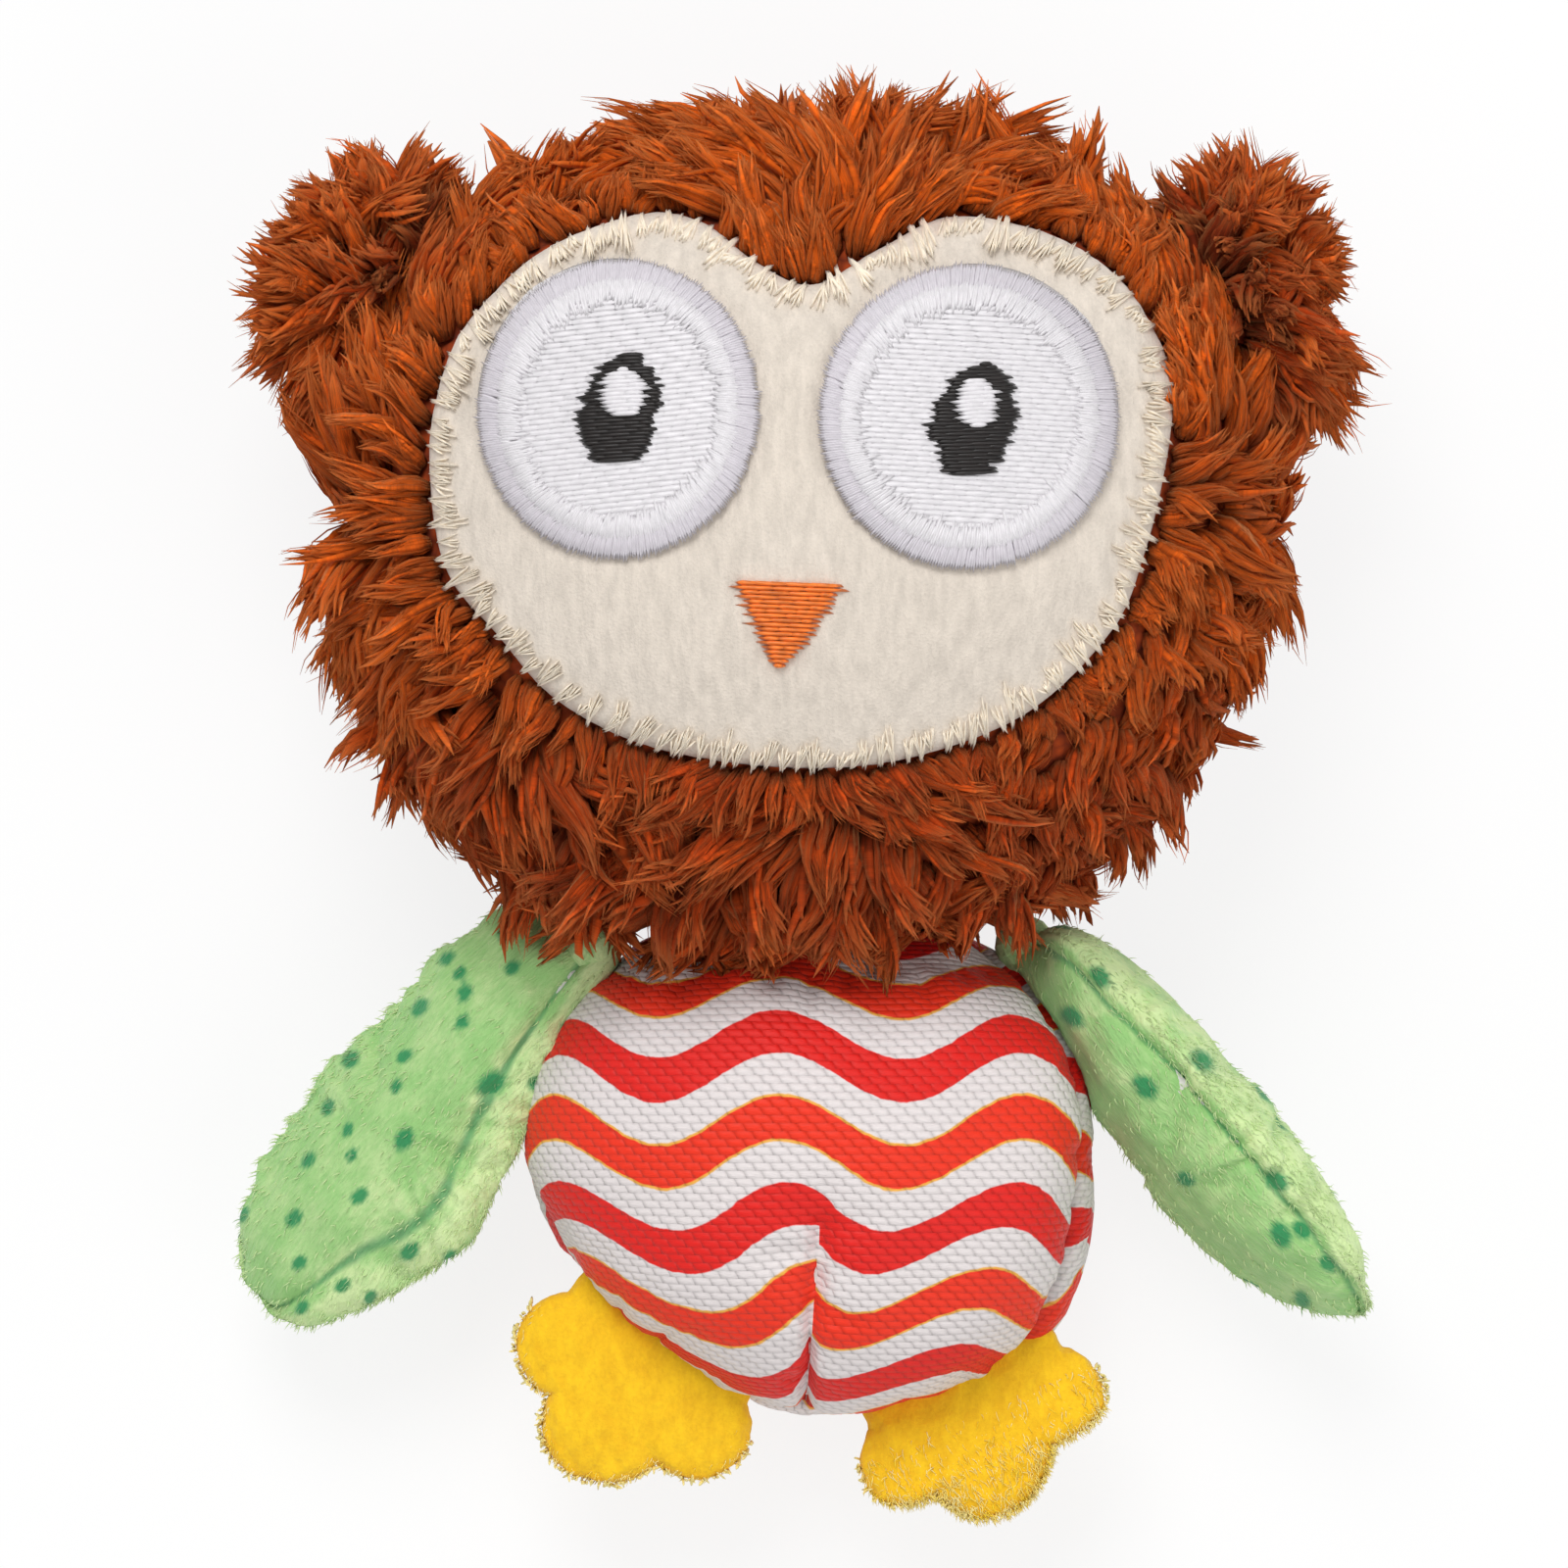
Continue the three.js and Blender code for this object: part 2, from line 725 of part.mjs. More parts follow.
function bodyPieces() {
  const neckSeat = ball(neckRadius + gap, neckPlace.clone().sub(bodyPlace));
  const chin = shifted(headForm(neckRoom), headPlace, bodyPlace);
  const knobs = wings.map((wing) => ball(knobRadius + gap, wingRoot(wing).sub(bodyPlace)));
  const table = slab(-far, -bodyPlace.z);
  const room = [neckSeat, chin, ...knobs];
  const cloth = subtract(bodyForm(), bodyForm(-wovenCloth), table, ...room);
  const filling = subtract(
    bodyForm(-wovenCloth - gap),
    allowanceRoom(bodyEdge, seamAllowance),
    pouch(gap),
    ...room,
  );
  const dartBand = cloth.intersect(slab(seamPlies / 2 + gap, far));
  const mouth = prism(
    ellipse({ y: pouchHalfHeight, halfWidth: pouchMouth, halfHeight: pouchMouth }),
  );
  return [
    piece('body_front_panel', 'stripedWeave', dartBand.subtract(dartStrip(seamPlies + 2 * gap))),
    piece('body_back_panel', 'stripedWeave', cloth.intersect(belowSeam)),
    piece('body_seam', 'redThread', subtract(allowance(bodyEdge, seamAllowance), ...room)),
    piece('dart_seam', 'redThread',
      dartBand.intersect(dartStrip(seamPlies)).subtract(slab(-far, seamPlies / 2 + 2 * gap))),
    piece('body_stuffing_front', 'fibreFill', filling.intersect(slab(gap / 2, far))),
    piece('body_stuffing_back', 'fibreFill', filling.intersect(slab(-far, -gap / 2))),
    piece('catnip_pouch', 'pouchCloth', subtract(pouch(0), pouch(-pouchCloth), mouth)),
    piece('dried_catnip', 'driedLeaf', subtract(pouch(-pouchCloth - gap), mouth)),
  ];
}

// The toy, moved so that its origin is under the middle of its box

const owl = new THREE.Group();
owl.add(
  groupAt(headPlace, [...headPieces(), ...facePieces()]),
  groupAt(neckPlace, [piece('neck_gather', 'brownFur', ball(neckRadius))]),
  groupAt(bodyPlace, bodyPieces()),
  ...ears.map(earGroup),
  ...wings.map(wingGroup),
  ...feet.map(footGroup),
);
const box = new THREE.Box3().setFromObject(owl, true);
owl.position.set(-(box.min.x + box.max.x) / 2, -(box.min.y + box.max.y) / 2, 0);

export default owl;
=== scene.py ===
import json
import math

import bpy
import numpy as np
from bpy.props import FloatProperty, FloatVectorProperty, IntProperty, PointerProperty
from mathutils.bvhtree import BVHTree
from mathutils.kdtree import KDTree
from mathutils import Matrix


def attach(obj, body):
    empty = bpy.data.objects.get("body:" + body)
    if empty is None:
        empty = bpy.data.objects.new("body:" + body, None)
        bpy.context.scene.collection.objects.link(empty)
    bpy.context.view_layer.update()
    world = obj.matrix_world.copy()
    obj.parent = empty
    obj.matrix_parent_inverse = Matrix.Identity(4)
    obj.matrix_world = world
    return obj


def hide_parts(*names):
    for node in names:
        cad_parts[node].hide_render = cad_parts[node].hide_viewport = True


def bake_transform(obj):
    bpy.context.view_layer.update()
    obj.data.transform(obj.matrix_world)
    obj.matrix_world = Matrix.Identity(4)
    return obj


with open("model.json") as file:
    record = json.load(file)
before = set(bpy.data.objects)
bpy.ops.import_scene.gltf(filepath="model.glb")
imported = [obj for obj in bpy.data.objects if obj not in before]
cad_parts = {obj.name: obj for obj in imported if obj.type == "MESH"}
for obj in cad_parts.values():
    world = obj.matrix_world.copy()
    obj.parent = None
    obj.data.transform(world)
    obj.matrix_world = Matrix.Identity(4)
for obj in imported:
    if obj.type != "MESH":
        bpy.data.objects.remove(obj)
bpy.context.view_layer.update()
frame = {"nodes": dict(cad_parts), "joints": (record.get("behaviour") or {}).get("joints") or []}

bl_info = {"name": "Owl cat toy", "version": (1, 0, 0), "blender": (4, 5, 0),
    "location": "3D View > Sidebar > Owl toy",
    "description": "Dresses the owl cat toy in long-pile fur, velour, stitching and striped cloth",
    "category": "Object"}

# Lengths are in millimetres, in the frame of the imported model, until a mesh is made.
# The toy lies on its back: +Z is out of the face, +Y is towards the crown, and "left" and
# "right" are the viewer's.

JOINTS = {joint["name"]: joint for joint in frame["joints"]}
SIDES = ("left", "right")


def joint_place(name):
    return np.array(JOINTS[name]["pos_m"]) * 1000


# Sizes and colours that a user may change


def srgb(code):
    """A colour written as sRGB hex, in linear values."""
    shares = [int(code[i : i + 2], 16) / 255 for i in (1, 3, 5)]
    return tuple(c / 12.92 if c <= 0.04045 else ((c + 0.055) / 1.055) ** 2.4 for c in shares)


def colour(name, code, description):
    return FloatVectorProperty(name=name, description=description, default=srgb(code),
        subtype="COLOR", size=3, min=0, max=1)


def length(name, millimetres, description):
    return FloatProperty(name=name, description=description, default=millimetres / 1000, min=0,
        unit="LENGTH", precision=5)


def share(name, default, description):
    return FloatProperty(name=name, description=description, default=default, min=0, max=1,
        subtype="FACTOR")


class FurSettings(bpy.types.PropertyGroup):
    reach: length("Lock length", 8.0, "Length of a lock of the long pile on the head")
    spacing: length("Lock spacing", 1.95, "Distance between locks on the front of the head")
    ear_reach: length("Ear lock length", 6.2, "Length of a lock on the ears")
    # One fur: crown, cheeks, chin and ears are steps from painted light to painted shade on it,
    # lighter towards the crown and darker under the chin
    crown: colour("Crown", "#df5f0e", "Fur at the top of the head")
    cheek: colour("Cheeks", "#de6014", "Fur at the sides of the head")
    chin: colour("Chin", "#c2450e", "Fur under the face")
    ear: colour("Ears", "#ca4f10", "Fur on the ears")
    # root is painted shade in the gaps between locks, and tip a painted highlight on the locks'
    # ends
    root: colour("Roots", "#591803", "Fur in the gaps between locks")
    tip: colour("Tips", "#ee9550", "Light-catching ends of the locks")


class FaceSettings(bpy.types.PropertyGroup):
    cloth: colour("Face cloth", "#e0d5c8", "Cream velour of the face patch")
    edge_thread: colour("Edge thread", "#fff3e0", "Ivory thread round the face patch")
    edge_pitch: length("Edge stitch pitch", 1.05, "Distance between stitches round the face")
    eye_thread: colour("Eye thread", "#e7e4e7", "White thread of the eyes")
    rim_thread: colour("Rim thread", "#d8d3d9", "Lilac-grey thread round the eyes")
    pupil_thread: colour("Pupil thread", "#1d1614", "Black thread of the pupils")
    beak_thread: colour("Beak thread", "#f77f26", "Orange thread of the beak")
    row_pitch: length("Row pitch", 0.4, "Distance between rows of the stitched fills")


class BodySettings(bpy.types.PropertyGroup):
    band: length("Band width", 3.26, "Width of a coloured stripe")
    period: length("Stripe period", 6.3, "Distance from one coloured stripe to the next")
    wave: length("Wavelength", 18.0, "Length of the stripes' wave")
    wave_height: length("Wave height", 1.8, "Height of the wave from its middle")
    thread_length: length("Weave length", 1.3, "Length of one float of the basket weave")
    thread_width: length("Weave width", 0.57, "Width of one float of the basket weave")
    white: colour("Ground", "#e9e1e0", "White of the cloth")
    crimson: colour("Crimson", "#e81409", "First stripe colour")
    vermilion: colour("Vermilion", "#f42f0b", "Second stripe colour")
    fringe: colour("Stripe edge", "#f2b347", "Thin edge of the second stripe")


class LimbSettings(bpy.types.PropertyGroup):
    green: colour("Green", "#a0d584", "Green velour of the wings")
    # pale_green is also the painted sheen along the wings' seams and rolled edges
    pale_green: colour("Pale green", "#d6edac", "Lighter patches of the wings")
    spot: colour("Spots", "#1f8f58", "Spots on the wings")
    yellow: colour("Feet", "#fdc41c", "Yellow velour of the feet")
    # edge_yellow is paler than the feet's cloth: painted light on their thin edge threads and nap
    # fibres
    edge_yellow: colour("Feet edge", "#ffee9c", "Stitched edge of the feet")


class StageSettings(bpy.types.PropertyGroup):
    sky: share("Sky", 0.54, "Even light from all round")
    key: share("Key light", 0.56, "Soft light from the crown's side")
    fill: share("Fill light", 0.22, "Soft light from below the feet")
    seed: IntProperty(name="Seed", description="Seed of all that is random", default=7, min=1)


# Shapes


def unit(vectors):
    size = np.linalg.norm(vectors, axis=-1, keepdims=True)
    return vectors / np.maximum(size, 1e-9)


def ripple(points, wavelength, seed, waves=9):
    """Smooth noise of about -1 to 1 at each point, with features of one size."""
    random = np.random.default_rng(seed)
    ways = unit(random.normal(size=(waves, points.shape[1])))
    counts = 2 * math.pi / (wavelength * random.uniform(0.7, 1.5, waves))
    phases = random.uniform(0, 2 * math.pi, waves)
    return np.sin((points @ ways.T) * counts + phases).sum(1) / math.sqrt(waves) / 1.2


def smooth(low, high, value):
    t = np.clip((value - low) / (high - low), 0, 1)
    return t * t * (3 - 2 * t)


def grid(n):
    """A disc without a pole: shares of its radius, angles, faces, and which points are its rim."""
    line = np.linspace(-1, 1, n + 1)
    u, v = np.meshgrid(line, line)
    x, y = u * np.sqrt(1 - v * v / 2), v * np.sqrt(1 - u * u / 2)
    at = np.arange((n + 1) ** 2).reshape(n + 1, n + 1)
    faces = np.stack([at[:-1, :-1], at[:-1, 1:], at[1:, 1:], at[1:, :-1]], -1).reshape(-1, 4)
    rim = np.maximum(np.abs(u), np.abs(v)).ravel() > 1 - 1e-9
    return np.hypot(x, y).ravel(), np.arctan2(y, x).ravel(), faces, rim


def two_sided(faces, rim):
    """The faces of a disc and of one behind it that shares its rim. The points of the second
    one that aren't on the rim come after all those of the first."""
    at_back = np.arange(len(rim))
    at_back[~rim] = len(rim) + np.arange((~rim).sum())
    return np.concatenate([faces, at_back[faces][:, ::-1]])


def pillow(n):
    """Two discs joined at their rim: shares, angles, sides (1 front, -1 back, 0 rim), faces."""
    shares, angles, faces, rim = grid(n)
    sides = np.concatenate([np.where(rim, 0, 1), np.full((~rim).sum(), -1)])
    shares, angles = (np.concatenate([values, values[~rim]]) for values in (shares, angles))
    return shares, angles, sides, two_sided(faces, rim)


class Form:
    """A stuffed form over an outline: it swells from its seam, up by front and down by back."""

    def __init__(self, middle, reach, front, back, swell, matrix=np.eye(3)):
        self.middle = np.array(middle, float)
        self.reach, self.front, self.back, self.swell = reach, front, back, swell
        self.matrix = matrix

    def own(self, points):
        return (points - self.middle) @ self.matrix

    def placed(self, points):
        return points @ self.matrix.T + self.middle

    def skin(self, n, grow=0.0):
        """Points on the surface in the form's own frame, their shares, angles, sides and faces."""
        shares, angles, sides, faces = pillow(n)
        shares = np.where(sides == 0, 1.0, np.sin(math.pi / 2 * shares))
        distance = shares * (self.reach(angles) + grow)
        swell = np.sqrt(np.maximum(1 - shares**self.swell, 0))
        height = np.where(sides > 0, self.front + grow, -(self.back + grow)) * swell
        points = np.stack([distance * np.cos(angles), distance * np.sin(angles), height], 1)
        return points, shares, angles, sides, faces

    def level(self, points, grow=0.0):
        """Below 0 inside the form and above 0 outside."""
        p = self.own(points)
        s = np.hypot(p[:, 0], p[:, 1]) / (self.reach(np.arctan2(p[:, 1], p[:, 0])) + grow)
        height = np.where(p[:, 2] > 0, self.front, self.back) + grow
        return s**self.swell + (p[:, 2] / height) ** 2 - 1

    def slope(self, points, grow=0.0, step=0.02):
        """The direction in which the level rises, and how fast."""
        ways = np.eye(3) * step
        rises = [self.level(points + w, grow) - self.level(points - w, grow) for w in ways]
        return np.stack(rises, 1) / (2 * step)

    def cleared(self, points, grow=0.0, stride=1.5):
        """The points, moved out of the form where they lie inside it."""
        points = points.copy()
        for _ in range(8):
            level = self.level(points, grow)
            inside = np.flatnonzero(level < -1e-3)
            if not len(inside):
                break
            slope = self.slope(points[inside], grow)
            steep = np.linalg.norm(slope, axis=1)
            move = np.minimum(-level[inside] / np.maximum(steep, 1e-6), stride)
            points[inside] += unit(slope) * move[:, None]
        return points

    def front_at(self, places, grow=0.0):
        """The points of the front over places given in plan."""
        p = np.asarray(places, float)[:, :2] - self.middle[:2]
        s = np.hypot(p[:, 0], p[:, 1]) / (self.reach(np.arctan2(p[:, 1], p[:, 0])) + grow)
        height = (self.front + grow) * np.sqrt(np.maximum(1 - s**self.swell, 0))
        return np.column_stack([p + self.middle[:2], height + self.middle[2]])

    def normals(self, points):
        return unit(self.slope(points))


def rounded(width, above, below, top, left, right):
    """How far an outline reaches at each angle: a rounded form with its own corner fullness."""

    def reach(angle):
        across, along = np.cos(angle), np.sin(angle)
        power = np.where(along > 0, top, np.where(across < 0, left, right))
        tall = np.where(along > 0, above, below)
        return ((np.abs(across) / width) ** power + (np.abs(along) / tall) ** power) ** (-1 / power)

    return reach


def curve(points, steps=24):
    """A smooth closed line through points."""
    points = np.asarray(points, float)
    p0, p1, p2, p3 = (np.roll(points, k, axis=0)[:, None, :] for k in (1, 0, -1, -2))
    t = np.linspace(0, 1, steps, endpoint=False)[None, :, None]
    line = 0.5 * (2 * p1 + (p2 - p0) * t + (2 * p0 - 5 * p1 + 4 * p2 - p3) * t**2
        + (3 * p1 - p0 - 3 * p2 + p3) * t**3)
    return line.reshape(-1, points.shape[1])


def traced(line, middle):
    """How far a closed line reaches from a middle at each angle."""
    away = line - middle
    angles, distances = np.arctan2(away[:, 1], away[:, 0]), np.hypot(away[:, 0], away[:, 1])
    order = np.argsort(angles)
    return lambda angle: np.interp(angle, angles[order], distances[order], period=2 * math.pi)


def spin(*degrees):
    """The matrix of a roll about X, then a droop about Y, then a heading about Z."""
    x, y, z = np.radians(degrees)
    cx, cy, cz = (math.cos(angle) for angle in (x, y, z))
    sx, sy, sz = (math.sin(angle) for angle in (x, y, z))
    about_x = np.array([[1, 0, 0], [0, cx, -sx], [0, sx, cx]])
    about_y = np.array([[cy, 0, sy], [0, 1, 0], [-sy, 0, cy]])
    about_z = np.array([[cz, -sz, 0], [sz, cz, 0], [0, 0, 1]])
    return about_z @ about_y @ about_x


def about(axis, degrees):
    """The matrix of a turn about an axis."""
    x, y, z = unit(np.array(axis, float))
    k = np.array([[0, -z, y], [z, 0, -x], [-y, x, 0]])
    a = math.radians(degrees)
    return np.eye(3) + math.sin(a) * k + (1 - math.cos(a)) * (k @ k)


GOLDEN_ANGLE = math.pi * (3 - math.sqrt(5))

# The toy's forms

NECK = joint_place("neck_turn")
HEAD = Form(NECK + [0, 29, 7], rounded(33.5, 27, 30, 2.4, 2.2, 2.2), front=22, back=22.5, swell=2.4)
BODY = Form(NECK + [0.4, -19, -1.5], rounded(21.3, 19, 19.6, 2.2, 1.55, 2.35), front=13.5, back=14,
    swell=2.3)
TABLE = 0.25  # lowest point of the fur and cloth above the table
RESTING = 0.7  # how high the head's backing is held by the pile pressed under it

# Places in plan, measured from the middle of the neck
FACE_OUTLINE = [(-26.7, 40.6), (-28.0, 35.0), (-27.6, 28.3), (-26.2, 24.1), (-23.1, 20.5),
    (-18.5, 15.5), (-11.3, 11.9), (-1.6, 10.4), (7.4, 11.0), (16.4, 14.4), (22.9, 20.5),
    (25.4, 26.2), (27.1, 33.4), (27.5, 38.8), (26.1, 43.1), (22.9, 47.4), (17.8, 50.3),
    (11.0, 51.4), (5.6, 49.0), (0.6, 46.4), (-3.7, 48.1), (-7.7, 51.0), (-12.3, 51.6),
    (-19.5, 48.9), (-24.6, 44.2)]
FACE_MIDDLE = NECK[:2] + [0.0, 30.6]
FACE_LINE = curve(FACE_OUTLINE) + NECK[:2]
FACE_REACH = traced(FACE_LINE, FACE_MIDDLE)

EYES = {"left": {"middle": NECK[:2] + (-13.99, 37.21), "half": (10.3, 11.0), "row_turn": 6,
    "pupil": NECK[:2] + (-14.1, 37.21), "pupil_half": (3.2, 4.0),
    "glint": NECK[:2] + (-13.62, 38.43), "glint_half": (1.38, 1.75)},
    "right": {"middle": NECK[:2] + (12.38, 36.62), "half": (11.0, 11.2), "row_turn": -3,
    "pupil": NECK[:2] + (12.53, 36.4), "pupil_half": (3.3, 4.15),
    "glint": NECK[:2] + (13.01, 37.62), "glint_half": (1.25, 1.8)}}
EYE_TURN = -7
# A pupil's edge: heights, and how far it reaches to the left and right, as shares of its halves
PUPIL = np.array([(-0.975, -0.48, 0.30), (-0.86, -0.57, 0.46), (-0.675, -0.69, 0.66),
    (-0.4, -0.79, 0.79), (-0.14, -0.97, 0.84), (0.075, -0.75, 1.01), (0.35, -0.62, 0.96),
    (0.625, -0.40, 0.84), (0.8, -0.20, 0.71), (0.975, 0.13, 0.46)])
BEAK = NECK[:2] + [(-5.07, 24.3), (2.4, 24.0), (-1.89, 17.4)]
DART_TOP, DART_FOOT = NECK[:2] + (1.22, -24.08), NECK[:2] + (0.11, -38.3)

EARS = {"left": 156, "right": 20}
# How long the pile is at each angle round an ear, as a share of its length
EAR_PILE = {"left": [(0, 0.8), (45, 0.95), (90, 1.0), (135, 0.75), (170, 1.05), (215, 1.1),
    (260, 1.15), (310, 0.9)], "right": [(0, 0.45), (45, 0.8), (90, 1.1), (135, 1.0), (225, 1.0),
    (280, 1.3), (300, 1.3), (325, 0.65)]}

WING_OUTLINE = [(0.02, 0.02), (0, -0.2), (0.15, -0.28), (0.31, -0.36), (0.5, -0.47), (0.63, -0.53),
    (0.75, -0.48), (0.87, -0.34), (0.965, -0.18), (1, 0.02), (0.96, 0.25), (0.83, 0.4),
    (0.64, 0.47), (0.43, 0.46), (0.21, 0.4), (0.06, 0.3)]
WING_START, WING_LENGTH, WING_WIDTH, WING_ASIDE, WING_MIDDLE = -1.2, 38.0, 17.4, 1.7, 0.55


def wing_form(side):
    flip, turn = {"left": (-1, spin(22, 8, 230)), "right": (1, spin(68, 3, -49))}[side]
    middle = np.array([WING_START + WING_LENGTH * WING_MIDDLE, flip * WING_ASIDE])
    corners = [(WING_START + x * WING_LENGTH, flip * (WING_ASIDE + y * WING_WIDTH))
        for x, y in WING_OUTLINE]
    root = joint_place(f"{side}_wing_lift")
    place = turn @ np.array([*middle, 0]) + root
    return Form(place, traced(curve(corners), middle), front=4.0, back=4.0, swell=2.2, matrix=turn)


WINGS = {side: wing_form(side) for side in SIDES}


def foot_form(side):
    heading = {"left": -32, "right": 23}[side] + 180
    lobes = [((0, 0), 8.7), ((0, 6.6), 5.2), ((-6.3, 3.5), 4.2), ((6.3, 3.5), 4.2)]
    start = np.array([0, 4.35])
    angles = np.linspace(-math.pi, math.pi, 361)
    rays = np.stack([np.cos(angles), np.sin(angles)], 1)
    farthest = np.zeros(len(angles))
    for place, radius in lobes:
        to = np.array(place) - start
        along = rays @ to
        inside = radius**2 - to @ to + along**2
        reached = along + np.sqrt(np.maximum(inside, 0))
        farthest = np.maximum(farthest, np.where(inside > 0, reached, 0))
    turn = spin(0, 0, heading)
    place = turn @ np.array([*start, 0]) + joint_place(f"{side}_foot_fold")
    reach = lambda angle: np.interp(angle, angles, farthest, period=2 * math.pi)
    return Form(place, reach, front=1.45, back=1.45, swell=8, matrix=turn)


FEET = {side: foot_form(side) for side in SIDES}
FOOT_START, FOOT_END = -2.5, 2.0  # where a foot's cloth leaves the body's seam and starts to fold


# Making meshes and pieces


def make_piece(name, points, faces, material, body, maps=None, values=None):
    """A finished mesh object, from points in millimetres, riding on a body if one is given."""
    mesh = bpy.data.meshes.new(name)
    mesh.from_pydata((points / 1000).tolist(), [], [list(f) for f in faces])
    corners = np.empty(len(mesh.loops), int)
    mesh.loops.foreach_get("vertex_index", corners)
    for map_name, places in (maps or {}).items():
        layer = mesh.uv_layers.new(name=map_name)
        by_corner = len(places) == len(corners) and len(places) != len(points)
        rows = places if by_corner else places[corners]
        layer.data.foreach_set("uv", np.asarray(rows, np.float32).ravel())
    for value_name, numbers in (values or {}).items():
        layer = mesh.attributes.new(value_name, "FLOAT", "POINT")
        layer.data.foreach_set("value", np.asarray(numbers, np.float32))
    mesh.materials.append(material)
    mesh.shade_smooth()
    mesh.update()
    made = bpy.data.objects.new(name, mesh)
    bpy.context.scene.collection.objects.link(made)
    if body:
        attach(made, body)
    return made


def tube(line, radii, sides, turn=0.0):
    """A closed tube along a line: its points, faces, and map of (around, along). Each step has
    one radius, or one for every side."""
    line, radii = np.asarray(line, float), np.asarray(radii, float)
    radii = radii if radii.ndim == 2 else radii[:, None]
    ahead = unit(np.gradient(line, axis=0))
    aside = unit(np.cross(ahead, [0.31, 0.93, 0.17]))
    over = np.cross(ahead, aside)
    angles = turn + 2 * math.pi * np.arange(sides) / sides
    cosines, sines = np.cos(angles)[None, :, None], np.sin(angles)[None, :, None]
    ring = cosines * aside[:, None] + sines * over[:, None]
    points = (line[:, None] + ring * radii[..., None]).reshape(-1, 3)
    last = len(line) - 1
    faces = [(k * sides + i, k * sides + (i + 1) % sides, (k + 1) * sides + (i + 1) % sides,
        (k + 1) * sides + i) for k in range(last) for i in range(sides)]
    faces.append(tuple(range(sides))[::-1])
    faces.append(tuple(last * sides + i for i in range(sides)))
    along = np.repeat(np.linspace(0, 1, len(line)), sides)
    around = np.tile(np.abs(2 * np.arange(sides) / sides - 1), len(line))
    return points, faces, np.stack([around, along], 1)


def joined(pieces):
    """Several tubes as one set of points, faces and map."""
    points, faces, maps, count = [], [], [], 0
    for p, f, m in pieces:
        points.append(p)
        faces += [tuple(i + count for i in face) for face in f]
        maps.append(m)
        count += len(p)
    return np.concatenate(points), faces, np.concatenate(maps)


def turned(x, y, z):
    """The Euler turns of frames whose axes are given."""
    return np.stack([np.arctan2(y[:, 2], z[:, 2]), -np.arcsin(np.clip(x[:, 2], -1, 1)),
        np.arctan2(x[:, 1], x[:, 0])], 1)


def add(tree, kind, inputs=None, stops=None, **settings):
    """A node with its settings, its inputs' values or links and, on a ramp, its stops. A node
    given as a value stands for its first output, and a short kind for a shader node's."""
    node = tree.nodes.new(kind if "Node" in kind else f"ShaderNode{kind}")
    for key, value in settings.items():
        setattr(node, key, value)
    for key, value in (inputs or {}).items():
        socket = node.inputs[key]
        if isinstance(value, bpy.types.Node):
            value = value.outputs[0]
        if isinstance(value, bpy.types.NodeSocket):
            tree.links.new(value, socket)
        elif socket.type == "RGBA":
            socket.default_value = (*value[:3], 1)
        else:
            socket.default_value = value
    if stops:
        elements = node.color_ramp.elements
        while len(elements) < len(stops):
            elements.new(1)
        for element, (place, tint) in zip(elements, stops):
            element.position = place
            element.color = (*tint[:3], 1) if hasattr(tint, "__len__") else (tint, tint, tint, 1)
    return node


def maths(tree, operation, *values, **settings):
    """A math node over values, in the order of its inputs."""
    return add(tree, "Math", dict(enumerate(values)), operation=operation, **settings)


def remap(tree, value, low, high, to_low=0.0, to_high=1.0, **settings):
    """A map-range node, from one pair of ends to another."""
    ends = {"From Min": low, "From Max": high, "To Min": to_low, "To Max": to_high}
    return add(tree, "MapRange", {"Value": value, **ends}, **settings)


SCATTER_INPUTS = [("Points", "NodeSocketGeometry"), ("Parts", "NodeSocketCollection"),
    ("Material", "NodeSocketMaterial"), ("Seed", "NodeSocketInt")]


def scatter_tree():
    """Geometry Nodes: sets one of a collection's parts on every point, turned and sized by the
    point's attributes, with the point's shade written into the parts' map."""
    found = bpy.data.node_groups.get("Scatter parts")
    if found:
        return found
    tree = bpy.data.node_groups.new("Scatter parts", "GeometryNodeTree")
    for name, kind in SCATTER_INPUTS:
        tree.interface.new_socket(name, in_out="INPUT", socket_type=kind)
    tree.interface.new_socket("Geometry", in_out="OUTPUT", socket_type="NodeSocketGeometry")
    given = add(tree, "NodeGroupInput").outputs
    parts = add(tree, "GeometryNodeCollectionInfo", {"Collection": given["Parts"],
        "Separate Children": True, "Reset Children": True})
    turn = add(tree, "GeometryNodeInputNamedAttribute", {"Name": "turn"}, data_type="FLOAT_VECTOR")
    size = add(tree, "GeometryNodeInputNamedAttribute", {"Name": "size"}, data_type="FLOAT_VECTOR")
    pick = add(tree, "FunctionNodeRandomValue", {"Min": 0, "Max": 997, "Seed": given["Seed"]},
        data_type="INT")
    rotation = add(tree, "FunctionNodeEulerToRotation", {0: turn})
    instances = add(tree, "GeometryNodeInstanceOnPoints",
        {"Points": given["Points"], "Instance": parts, "Pick Instance": True,
        "Instance Index": pick.outputs[2], "Rotation": rotation, "Scale": size})
    real = add(tree, "GeometryNodeRealizeInstances", {0: instances})
    shade = add(tree, "GeometryNodeInputNamedAttribute", {"Name": "shade"}, data_type="FLOAT")
    own = add(tree, "GeometryNodeInputNamedAttribute", {"Name": "OFBake"}, data_type="FLOAT_VECTOR")
    split = add(tree, "SeparateXYZ", {0: own})
    base = maths(tree, "MULTIPLY", shade, 0.94)
    around = maths(tree, "MULTIPLY_ADD", split.outputs[0], 0.06, base)
    place = add(tree, "CombineXYZ", {"X": around, "Y": split.outputs[1]})
    stored = add(tree, "GeometryNodeStoreNamedAttribute",
        {"Geometry": real, "Name": "OFBake", "Value": place}, data_type="FLOAT2", domain="CORNER")
    finish = add(tree, "GeometryNodeSetMaterial", {"Geometry": stored,
        "Material": given["Material"]})
    add(tree, "NodeGroupOutput", {0: finish})
    return tree


